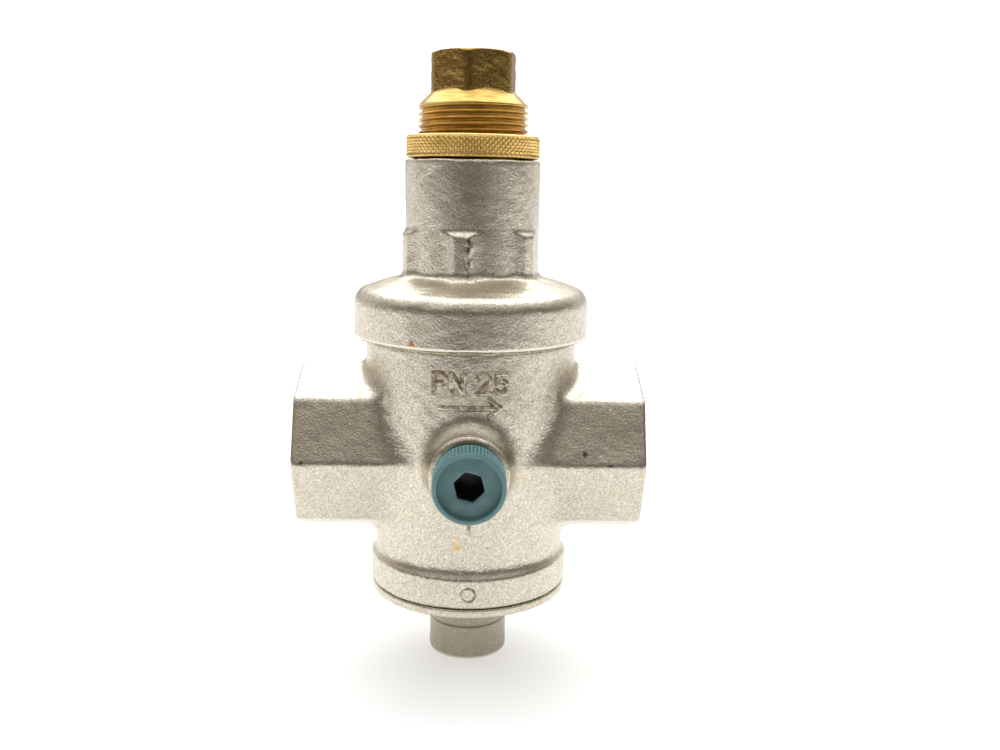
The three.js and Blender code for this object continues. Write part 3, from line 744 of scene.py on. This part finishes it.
def valve_body():
    shape = solid_from(body_distance, BODY_LOW, BODY_HIGH, BODY_STEP)
    piece("body_casting", shape, "housing", "nickel", NICKEL_BODY, "valve_body")
    points, faces = inner_thread(PORT_THREAD, PORT_SLEEVE["r"], PORT_SLEEVE["end"],
                                 PORT_HALF - BODY_EDGES["port"], 160)
    for side, name in ((-1, "inlet_thread"), (1, "outlet_thread")):
        piece(name, (facing_side(points, side), faces), "housing", "nickel", THREAD_METAL)
    points, faces = inner_thread(GAUGE_THREAD, GAUGE_BORE["r"], GAUGE_BORE["end"] + 0.2,
                                 -BODY_LOW[1] - 0.3, 96)
    piece("gauge_thread", (facing_front(points), faces), "housing", "nickel", THREAD_METAL)


def inner_thread(thread, bore_r, low, high, sides):
    """A threaded sleeve about Z that overlaps the wall of its bore, with its mouth at the top."""
    minor, major, pitch = thread["minor"], thread["major"], thread["pitch"]
    outer = bore_r + 0.1
    lead, mouth_r = 1.3, major + 0.2
    corners = [(outer, low), (outer, high), (mouth_r, high), (minor, high - lead), (minor, low)]
    profile = dense(corners, pitch / 9, closed=True)

    def cut(r, z, angle):
        fade = np.clip((high - 0.5 - z) / 1.0, 0, 1)
        groove = minor + (major - minor) * thread_groove(z, angle, pitch, 1.25, 0.12) * fade
        return np.where(r < outer - 0.2, np.maximum(r, groove), r), z

    return revolved(profile, sides, cut)


def bonnet():
    shape = solid_from(bonnet_distance, BONNET_LOW, BONNET_HIGH, BONNET_STEP)
    piece("bonnet_casting", shape, "housing", "nickel", NICKEL_BONNET, "bonnet")


def bottom_cover():
    plate_r, plate_top = COVER_HIGH[0], 20.9
    neck_r, spigot_r, spigot_low, spigot_high = 20.8, 22.9, 24, 28.7
    dish_r, dish_floor = 20, 23.4
    tube_r, tube_bore_r, tube_top = 11.2, 9.7, COVER_HIGH[2]
    hollow_r, hollow_low, hollow_high = 8.2, 3, 19.3
    groove_z, groove_half, groove_r = 9.3, 0.3, FOOT_R - 0.28
    outline = softened([
        (0, 0), (FOOT_R, 0), (FOOT_R, groove_z - groove_half), (groove_r, groove_z),
        (FOOT_R, groove_z + groove_half), (FOOT_R, FOOT_TOP), (plate_r, FOOT_TOP),
        (plate_r, plate_top), (neck_r, plate_top), (neck_r, spigot_low), (spigot_r, spigot_low),
        (spigot_r, spigot_high), (dish_r, spigot_high), (dish_r, dish_floor), (tube_r, dish_floor),
        (tube_r, tube_top), (tube_bore_r, tube_top), (tube_bore_r, hollow_high),
        (hollow_r, hollow_high), (hollow_r, hollow_low), (0, hollow_low),
    ], 0.45)

    def cast(r, z, angle):
        x, y = r * np.sin(angle), -r * np.cos(angle)
        on_foot = (r > hollow_r + 0.8) * within(z, 0, FOOT_TOP - 0.5, 1.5, 1.5)
        return r + uneven(0, x, y, z, COVER_SKIN) * on_foot, z

    shape = revolved(dense(outline, 0.6), 160, cast)
    piece("cover_and_foot", shape, "housing", "nickel", NICKEL_COVER, "bottom_cover")


def adjusting_screw():
    """A hollow threaded screw with a forged hexagon, which runs into the cone below it."""
    low, high = SCREW_LOW[2], SCREW_HIGH[2]
    bore_r, roof = 11.8, CAP_HIGH[2] + CLEARANCE
    lead, join, depth = 1, 0.1, 0.92
    cone_low, cone_high = SCREW_CONE
    neck = cone_high[0]
    hidden = dense([(0, roof), (bore_r, roof), (bore_r, low), (SCREW_R - lead, low),
                    (SCREW_R, low + lead), (SCREW_R, RING_LOW[2])], 0.3)
    shown = dense(softened([(SCREW_R, RING_LOW[2] + join), cone_low, cone_high], 0.15), 0.13)
    top = dense(softened([(neck, cone_high[1] + join), (neck, high), (0, high)], 0.2), 0.25)
    hex_low, hex_high = cone_low[1] + 0.5, cone_high[1]

    def cut(r, z, angle):
        x, y = r * np.sin(angle), -r * np.cos(angle)
        fade = within(z, low, cone_low[1], 1.5, 0.5) * (r > bore_r + 0.7)
        threaded = r - depth * thread_groove(z, angle, SCREW_PITCH, 1.2, 0.08) * fade
        hexagon = hexagon_r(angle, SCREW_HEX["flats"], SCREW_HEX["corner"], HEX_TURN)
        hexagon = uneven(hexagon, x, y, z, FORGED_SKIN)
        limit = SCREW_HEX["corner"] - np.clip(z - high + 1.1, 0, 2) ** 2 * 0.8
        hexagon = smooth_min(hexagon, limit, 0.3)
        on_cone = (r > neck - 0.5) & (z > hex_low) & (z < hex_high)
        on_hexagon = z >= hex_high
        r = np.where(on_cone, smooth_max(threaded, hexagon, 0.25), threaded)
        return np.where(on_hexagon, r / neck * hexagon, r), z

    shape = revolved(hidden + shown + top, 222, cut)
    piece("brass_adjusting_screw", shape, "screw", "brass", BRASS_SCREW, "adjusting_screw")


def lock_ring():
    """A knurled ring, recessed underneath for its washer."""
    low, high, r = RING_LOW[2], RING_HIGH[2], RING_HIGH[0]
    bore, bore_edge, edge, plain = SCREW_R + CLEARANCE, 0.5, 0.35, 0.45
    recess_r, recess_top = WASHER_HIGH[0] + CLEARANCE, WASHER_HIGH[2] + CLEARANCE
    outline = softened([(bore, recess_top), (recess_r, recess_top), (recess_r, low), (r - edge, low),
                        (r, low + edge), (r, high - edge), (r - edge, high),
                        (bore + bore_edge, high), (bore, high - bore_edge)], 0.12, True)

    def knurl(r_now, z, angle):
        along = KNURL_TEETH * z / (TURN * r)
        around = KNURL_TEETH * angle / TURN
        diamond = np.minimum(ridge(around + along), ridge(around - along))
        fade = within(z, low + plain, high - plain, 0.25, 0.25)
        depth = 0.6 * (1 - np.clip(1.4 * diamond, 0, 1)) * fade
        return r_now - np.where(r_now > r - 0.1, depth, 0), z

    shape = revolved(dense(outline, 0.17, True), KNURL_TEETH * 8, knurl)
    piece("knurled_lock_ring", shape, "lock_ring", "brass", BRASS_RING, "lock_ring")


def washer():
    low, high, r, hole = WASHER_LOW[2], WASHER_HIGH[2], WASHER_HIGH[0], SCREW_R + CLEARANCE
    outline = softened([(hole, low), (r, low), (r, high), (hole, high)], 0.12, True)
    piece("fibre_washer", revolved(outline, 128), "lock_washer", "washer_plastic", FIBRE,
          "lock_ring_washer")


def gauge_plug():
    """A screw plug with a fluted head, a sunk face and a hexagon socket."""
    tip, front, head_r = -PLUG_HIGH[1], -PLUG_LOW[1], PLUG_HIGH[0]
    thread_r, thread_end, thread_depth, lead = 6.55, 31.2, 0.8, 1.1
    groove_r, groove_low, head_low, head_edge = 5.8, 32, 32.9, 0.3
    rim_r, floor_r, floor, socket = 7.5, 7.3, front - 1.7, front - 9.2
    nominal, key_flats, key_corner, key_turn = 3.8, 6.6, 3.78, math.radians(14)
    outline = softened([
        (0, tip), (5.4, tip), (thread_r, tip + lead), (thread_r, thread_end),
        (groove_r, groove_low), (groove_r, head_low), (head_r - head_edge, head_low),
        (head_r, head_low + head_edge), (head_r, front - 0.5), (head_r - 0.5, front),
        (rim_r, front), (floor_r, floor), (nominal, floor), (nominal, socket), (0, socket),
    ], 0.18)

    def mould(r, z, angle):
        flute = 0.5 * (1 - ridge(PLUG_FLUTES * angle / TURN)) ** 1.5 * (r > head_r - 0.4)
        flute = flute * within(z, head_low + 0.4, front - 0.35, 0.4, 0.5)
        thread = thread_depth * thread_groove(z, angle, GAUGE_THREAD["pitch"], 1.2, 0.1)
        thread = thread * within(z, tip, thread_end - 0.2, 1.5, 0.8) * (r > thread_r - 0.15)
        hexagon = hexagon_r(angle, key_flats, key_corner, key_turn)
        in_socket = (r <= nominal) & (z > socket - 0.3) & (z < floor + 0.05)
        return np.where(in_socket, r / nominal * hexagon, r - flute - thread), z

    points, faces = revolved(dense(outline, 0.24), PLUG_FLUTES * 7, mould)
    piece("fluted_plug", (facing_front(points), faces), "plug", "plug_plastic", TEAL, "gauge_plug",
          sharp=35)


def torus(r_mean, r_section, steps, sides):
    angles = np.arange(steps) * TURN / steps
    profile = [(r_mean + r_section * math.cos(a), r_section * math.sin(a)) for a in angles]
    return revolved(profile, sides)


def oring(node, name, body, front=False):
    """A round o-ring that fills a CAD node's place."""
    low, high = span(node)
    across = 1 if front else 2
    r_section = (high[across] - low[across]) / 2
    r_mean = (high[0] - low[0]) / 2 - r_section
    middle = (high[across] + low[across]) / 2
    points, faces = torus(r_mean, r_section, 20, 120)
    if front:
        points = facing_front(points) + (0, middle, 0)
    else:
        points = points + (0, 0, middle)
    piece(name, (points, faces), body, "rubber", RUBBER, node)


def arc(centre, radius, start, end, steps=10):
    """Points on an arc, between two angles in degrees."""
    return [(centre[0] + radius * math.cos(a), centre[1] + radius * math.sin(a))
            for a in np.radians(np.linspace(start, end, steps))]


GLYPHS = {
    "P": [[(0, 0), (0, 1)] + arc((0.34, 0.74), 0.26, 90, -90) + [(0, 0.48)]],
    "N": [[(0, 0), (0, 1), (0.6, 0), (0.6, 1)]],
    "2": [arc((0.3, 0.7), 0.3, 165, -35) + [(0, 0), (0.62, 0)]],
    "5": [[(0.56, 1), (0.1, 1), (0.05, 0.55)] + arc((0.27, 0.33), 0.33, 115, -145)],
    "1": [[(0.05, 0.78), (0.3, 1), (0.3, 0)]],
    " ": [],
}


def lettering(text, height, advance):
    """Strokes of a line of text, centred on zero. Letters stand advance apart, and a space less."""
    space, letter_width = 0.4, 0.6
    widths = [advance * (space if letter == " " else 1) for letter in text]
    places = np.cumsum([0] + widths[:-1])
    start = -(places[-1] + letter_width * height) / 2
    return [[(start + place + x * height, (y - 0.5) * height) for x, y in stroke]
            for place, letter in zip(places, text) for stroke in GLYPHS[letter]]


def arrow(length, head):
    tip, barb = length / 2, 0.8 * head
    return [[(-tip, 0), (tip, 0)], [(tip - head, barb), (tip, 0), (tip - head, -barb)]]


def stroke_distance(strokes, across, up):
    """Distance from the points of a grid to the nearest stroke."""
    nearest = np.full(across.shape, np.inf)
    for stroke in strokes:
        for (x0, y0), (x1, y1) in zip(stroke, stroke[1:]):
            dx, dy = x1 - x0, y1 - y0
            along = ((across - x0) * dx + (up - y0) * dy) / (dx * dx + dy * dy)
            along = np.clip(along, 0, 1)
            away = np.hypot(across - x0 - along * dx, up - y0 - along * dy)
            nearest = np.minimum(nearest, away)
    return nearest


def cast_mark(name, strokes, centre_z, height=0.5, width=1.05, wall=BARREL_R):
    """Raised strokes with soft shoulders, wrapped round the front of the body."""
    step, margin, deep, shoulder, sunk = 0.14, 1.1, 0.7, 0.9, 0.35
    ends = np.array([point for stroke in strokes for point in stroke])
    (left, bottom), (right, top) = ends.min(0) - margin, ends.max(0) + margin
    across, up = np.meshgrid(np.arange(left, right, step), np.arange(bottom, top, step),
                             indexing="ij")
    beyond = stroke_distance(strokes, across, up) - width / 2
    near = np.clip((beyond + shoulder / 2) / shoulder, 0, 1)
    rise = height - (height + sunk) * eased(near)
    rise = rise + uneven(0, across, up, rise, MARK_SKIN) * (1 - near)
    sheets = []
    for out in (rise, rise * 0 - deep):
        r, angle = wall + out, across / wall
        sheets.append(np.stack([r * np.sin(angle), -r * np.cos(angle), centre_z + up], -1))
    count = across.size
    index = np.arange(count).reshape(across.shape)
    front = grid_quads(index.T)
    back = (np.array(front)[:, ::-1] + count).tolist()
    rim = np.concatenate([index[:, 0], index[-1, 1:], index[-2::-1, -1], index[0, -2::-1]])
    side = np.stack([rim[1:], rim[:-1], rim[:-1] + count, rim[1:] + count], -1)
    points = np.concatenate(sheets).reshape(-1, 3)
    piece(name, (points, front + back + side.tolist()), "housing", "nickel", NICKEL_MARKS)


def cast_marks():
    rating_z, arrow_z, size_z, ring_z = 78.6, 72.6, 42.8, 24.9
    ring_r, ring_section = 1.75, 0.3
    cast_mark("pressure_rating_mark", lettering("PN 25", 4.6, 4.4), rating_z, 0.55, 1.3)
    cast_mark("flow_arrow_mark", arrow(14.5, 2.6), arrow_z, 0.6, 1.3)
    cast_mark("size_mark", lettering("1", 3.0, 3.0), size_z, wall=float(barrel_wall(size_z)))
    points, faces = torus(ring_r, ring_section, 12, 40)
    points = facing_front(points) + (0, -FLANGE_R, ring_z - PORT_Z)
    piece("flange_ring_mark", (points, faces), "housing", "nickel", NICKEL_MARKS)


def spring_half(low_turn, high_turn):
    """Part of the main spring, whose end turns are close and middle turns open."""
    wire, play, steps, around = 1.75, 0.4, 48, 16
    mean = SPRING_HIGH[0] - wire
    low, high = SPRING_LOW[2] + wire, SPRING_HIGH[2] - wire
    close = 2 * wire + play
    open_pitch = (high - low - 2 * close) / (SPRING_TURNS - 2)
    turn = np.linspace(low_turn, high_turn, int((high_turn - low_turn) * steps) + 1)
    in_ends = np.minimum(turn, 1) + np.maximum(turn - SPRING_TURNS + 1, 0)
    z = low + close * in_ends + open_pitch * (turn - in_ends)
    section = np.arange(around) * TURN / around
    r = mean + wire * np.cos(section)
    angle = TURN * turn[:, None]
    points = np.stack([r * np.cos(angle), r * np.sin(angle),
                       z[:, None] + wire * np.sin(section)], -1)
    index = np.arange(len(turn) * around).reshape(-1, around)
    faces = [index[0, ::-1].tolist(), index[-1].tolist()] + grid_quads(index, (0, 1))
    return points.reshape(-1, 3), faces


def main_spring():
    """Two halves: the lower rides on the housing, and the upper on no body, with its place baked
    into its points.
    """
    lower = piece("main_spring_lower", spring_half(0, SPRING_TURNS / 2), "housing", "spring_steel",
                  SPRING_STEEL, "main_spring")
    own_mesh(lower)
    upper = piece("main_spring_upper", spring_half(SPRING_TURNS / 2, SPRING_TURNS), None,
                  "spring_steel", SPRING_STEEL)
    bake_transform(upper)


def diaphragm():
    """A dished disc with a rolling fold between its clamped rim and its flat middle."""
    low, high = span("diaphragm")
    rim_r, fold_from, fold_to, sag = high[0], 13.4, 20.2, 2.5
    rim = low[2] + sag
    radii = np.linspace(fold_from, fold_to, 16)
    drop = -sag * (1 + np.cos(np.pi * (radii - fold_from) / (fold_to - fold_from))) / 2
    under = [(r, rim + d) for r, d in zip(radii, drop)]
    over = [(r, high[2] + d) for r, d in zip(radii, drop)]
    outline = [(STEM_HOLE_R, rim - sag)] + under + [(rim_r, rim), (rim_r, high[2])] + over[::-1]
    outline += [(STEM_HOLE_R, high[2] - sag)]
    obj = piece("rolling_diaphragm", revolved(dense(outline, 0.8, True), 120), "housing", "rubber",
                RUBBER, "diaphragm")
    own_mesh(obj)


def turned_piece(node, body, slot, material, corners, cut=0.25, sides=96, shape=None):
    """A turned piece whose outline ends on the axis, or closes on itself."""
    closed = corners[0][0] != 0
    outline = dense(softened(corners, cut, closed), 0.8, closed)
    piece("turned_" + node, revolved(outline, sides, shape), body, slot, material, node)


def extent(node):
    """A turned CAD node's outer radius, and its lowest and highest level."""
    low, high = span(node)
    return high[0], low[2], high[2]


def hexagon_nut(node, body, slot, material):
    half_flats, low, high = extent(node)
    corner = half_flats / math.cos(TURN / 12)
    chamfer_height, chamfer_slope = 0.35, 1.7
    corners = [(STEM_HOLE_R, low), (corner, low), (corner, high), (STEM_HOLE_R, high)]

    def shape(r, z, angle):
        chamfer = corner - np.maximum(0, z - high + chamfer_height) * chamfer_slope
        side = smooth_min(hexagon_r(angle, 2 * half_flats, corner), chamfer, 0.1)
        share = (r - STEM_HOLE_R) / (corner - STEM_HOLE_R)
        return STEM_HOLE_R + share * (side - STEM_HOLE_R), z

    turned_piece(node, body, slot, material, corners, 0.15, 144, shape)


def seat_and_guides():
    r, low, high = extent("seat_ring")
    hole, tube, lip, plate_low, plate_high = 8.5, 9.7, 9.1, low + 0.7, low + 2
    turned_piece("seat_ring", "housing", "stainless", STAINLESS, [
        (hole, low), (lip, low), (lip + 0.4, plate_low), (r, plate_low), (r, plate_high),
        (tube, plate_high), (tube, high), (hole, high)])
    r, low, high = extent("guide_bush")
    hole, tube, collar, lead = 8, 9.4, high - 1.6, 0.5
    turned_piece("guide_bush", "housing", "bush_plastic", ACETAL, [
        (hole, low), (tube, low), (tube, collar), (r, collar), (r, high), (hole + lead, high),
        (hole, high - 0.6)])
    r, low, high = extent("slip_ring")
    hole = 20.2
    turned_piece("slip_ring", "housing", "brass", BRASS_INNER, [
        (hole, low), (r, low), (r, high), (hole, high)], 0.15)
    r, low, high = extent("spring_cap")
    spigot, plate, rim = 7.2, low + 2, low + 3.6
    turned_piece("spring_cap", "spring_cap", "stainless", STAINLESS, [
        (0, low), (spigot - 0.6, low), (spigot, low + 0.6), (spigot, plate), (r, plate),
        (r, rim), (r - 0.8, high), (0, high)])


def valve_train():
    """The stem with its piston and cup, and what is clamped to it."""
    r, low, high = extent("stem")
    piston, groove, rod, spindle, collar, cup_bore = 7.7, 6.2, 4, 3, 5.5, 10.2
    groove_low, groove_high, piston_top = low + 2.1, low + 4.6, low + 8.2
    seal = extent("valve_seal")[2]
    cup_low, cup_floor, cup_high = low + 22.3, seal - 2.8, seal - 0.6
    collar_low, collar_high, edge = 84.5, 87.7, 0.5
    turned_piece("stem", "valve_train", "brass", BRASS_INNER, [
        (0, low), (piston - 0.4, low), (piston, low + 0.4), (piston, groove_low),
        (groove, groove_low), (groove, groove_high), (piston, groove_high), (piston, piston_top),
        (rod, piston_top + 0.7), (rod, cup_low - 0.6), (r - edge, cup_low), (r, cup_low + edge),
        (r, cup_high), (cup_bore, cup_high), (cup_bore, cup_floor), (spindle, cup_floor),
        (spindle, collar_low - 1), (collar, collar_low), (collar, collar_high),
        (spindle, collar_high), (spindle, high - edge), (spindle - edge, high), (0, high)], 0.3)
    r, low, high = extent("valve_seal")
    turned_piece("valve_seal", "valve_train", "rubber", RUBBER, [
        (STEM_HOLE_R, low), (r, low), (r, high), (STEM_HOLE_R, high)])
    r, low, high = extent("diaphragm_lower_plate")
    turned_piece("diaphragm_lower_plate", "valve_train", "brass", BRASS_INNER, [
        (STEM_HOLE_R, low), (r - 1, low), (r, low + 1), (r, high), (STEM_HOLE_R, high)])
    r, low, high = extent("diaphragm_upper_plate")
    dish_r, floor = 11.8, high - 1.2
    turned_piece("diaphragm_upper_plate", "valve_train", "brass", BRASS_INNER, [
        (STEM_HOLE_R, low), (r - edge, low), (r, low + edge), (r, high), (dish_r, high),
        (dish_r, floor), (STEM_HOLE_R, floor)])
    hexagon_nut("diaphragm_nut", "valve_train", "stainless", STAINLESS)
    hexagon_nut("seal_retainer", "valve_train", "brass", BRASS_INNER)


def seals():
    for node, name, body in (("bottom_cover_oring", "cover_oring", "housing"),
                             ("seat_oring", "seat_seal_oring", "housing"),
                             ("piston_oring", "balance_piston_oring", "valve_train")):
        oring(node, name, body)
    oring("gauge_plug_oring", "plug_oring", "plug_seal", front=True)


# Stage, light and camera

PAPER_SHADES = ((0.62, 0.62, 0.62), (0.64, 0.64, 0.64))
PAPER_GLOW = (0.50, 0.50, 0.50)
CARD_DARK = (0.050, 0.039, 0.026)
FLOOR_HALF = 12000
CARD = {"half": 4000, "back": -220, "height": 2}


def paper(name, shade=None):
    """White glowing paper, with a dark part where shade gives one."""
    look = Look(name, PAPER)
    color = look.mix(look.noise(40, 2), *PAPER_SHADES)
    glow = (*PAPER_GLOW, 1)
    if shade:
        dark = shade(look)
        color = look.mix(dark, color, CARD_DARK)
        glow = look.mix(dark, PAPER_GLOW, (0, 0, 0))
    look.feed(look.shader.inputs["Emission Color"], glow)
    return look.finish(color)


def level_sheet(name, half, back, height, material):
    """A level sheet, as far to the front as to the sides, and as far back as given."""
    points = [(-half, -half, height), (half, -half, height), (half, back, height),
              (-half, back, height)]
    sheet = added(name, meshed(name, points, [(0, 1, 2, 3)], material))
    return sheet


def stage():
    level_sheet("studio_floor", FLOOR_HALF, FLOOR_HALF, 0, paper("floor_paper"))


def dark_middle(look):
    """Dark in front of the object, fading out towards the sides."""
    ahead = look.between(look.axis("Y"), -245, -330)
    aside = look.between(look.math("ABSOLUTE", look.axis("X")), 1300, 350)
    return look.math("MULTIPLY", ahead, aside)


def front_card():
    """A card just above the floor in front, which only reflections see."""
    card = level_sheet("front_card", CARD["half"], CARD["back"], CARD["height"],
                       paper("card_paper", dark_middle))
    card.visible_camera = False
    card.visible_diffuse = False
    card.visible_shadow = False


# How the tent's dark parts begin and end, along its sides and upwards
GAP_TURN = math.radians(-7)
GAP_FRONT, GAP_HEIGHT, GREY_BACK = (0.88, -0.28), (0.20, 0.82), (0.80, 0.96)
GREY_SHARE = 0.50
GAP_WARMTH = (0, 0.22, 0.45)
ROOM_DARK = (0.030, 0.023, 0.015)
BACKDROP = 1.5
WORLD_STRENGTH = 0.82


def surroundings():
    """A white tent, open and dark in front, where the camera looks in, and grey low at the back."""
    world = bpy.data.worlds.new("tent")
    bpy.context.scene.world = world
    world.use_nodes = True
    tree = world.node_tree
    back = tree.nodes["Background"]

    def link(kind, *sources, **values):
        node = tree.nodes.new(kind)
        for name, value in values.items():
            setattr(node, name, value)
        for socket, source in zip(node.inputs, sources):
            if isinstance(source, bpy.types.NodeSocket):
                tree.links.new(source, socket)
            else:
                socket.default_value = source
        return node.outputs

    def ramp(value, *edges):
        return link("ShaderNodeMapRange", value, *edges, interpolation_type="SMOOTHSTEP")[0]

    place = link("ShaderNodeTexCoord")["Generated"]
    place = link("ShaderNodeMapping", place, (0, 0, 0), (0, 0, GAP_TURN))[0]
    _, along, up = link("ShaderNodeSeparateXYZ", place)
    low = ramp(up, *GAP_HEIGHT, 1.0, 0.0)
    front = ramp(along, *GAP_FRONT, 0.0, 1.0)
    behind = ramp(along, *GREY_BACK, 0.0, GREY_SHARE)
    gap = link("ShaderNodeMath", front, behind, operation="ADD")[0]
    dark = link("ShaderNodeMath", gap, low, operation="MULTIPLY")[0]
    warmth = link("ShaderNodeVectorMath", dark, GAP_WARMTH, operation="MULTIPLY")[0]
    warmth = link("ShaderNodeVectorMath", (1, 1, 1), warmth, operation="SUBTRACT")[0]
    room = link("ShaderNodeVectorMath", (1, 1, 1), dark, operation="SUBTRACT")[0]
    room = link("ShaderNodeVectorMath", room, warmth, operation="MULTIPLY")[0]
    room = link("ShaderNodeVectorMath", room, ROOM_DARK, operation="MAXIMUM")[0]
    camera_ray = link("ShaderNodeLightPath")["Is Camera Ray"]
    backdrop = link("ShaderNodeMath", camera_ray, BACKDROP, operation="MULTIPLY")[0]
    seen = link("ShaderNodeVectorMath", room, backdrop, operation="MAXIMUM")[0]
    tree.links.new(seen, back.inputs["Color"])
    back.inputs["Strength"].default_value = WORLD_STRENGTH


SUN = {"energy": 2.5, "angle": 75, "tilt": -28}


def overhead():
    """One broad soft light from above and a little behind."""
    light = bpy.data.lights.new("overhead", "SUN")
    light.energy = SUN["energy"]
    light.angle = math.radians(SUN["angle"])
    added("overhead", light).rotation_euler = (math.radians(SUN["tilt"]), 0, 0)


CAMERA_PLACE = (0, -254, 123.5)
CAMERA_ANGLES = {"pitch": 10.635, "yaw": 1.76, "roll": 1.0}
LENS, SENSOR = 35.17, 36


def camera():
    data = bpy.data.cameras.new("camera")
    data.sensor_width = SENSOR
    data.lens = LENS
    obj = added("camera", data)
    pitch, yaw, roll = (math.radians(CAMERA_ANGLES[name]) for name in ("pitch", "yaw", "roll"))
    aim = Matrix.Rotation(-yaw, 4, "Z") @ Matrix.Rotation(TURN / 4 - pitch, 4, "X")
    place = Matrix.Translation([length * MM for length in CAMERA_PLACE])
    obj.matrix_world = place @ aim @ Matrix.Rotation(roll, 4, "Z")
    bpy.context.scene.camera = obj


valve_body()
bonnet()
bottom_cover()
adjusting_screw()
lock_ring()
washer()
gauge_plug()
cast_marks()
main_spring()
diaphragm()
seat_and_guides()
valve_train()
seals()
stage()
front_card()
surroundings()
overhead()
camera()
bpy.context.scene.view_settings.view_transform = "Standard"
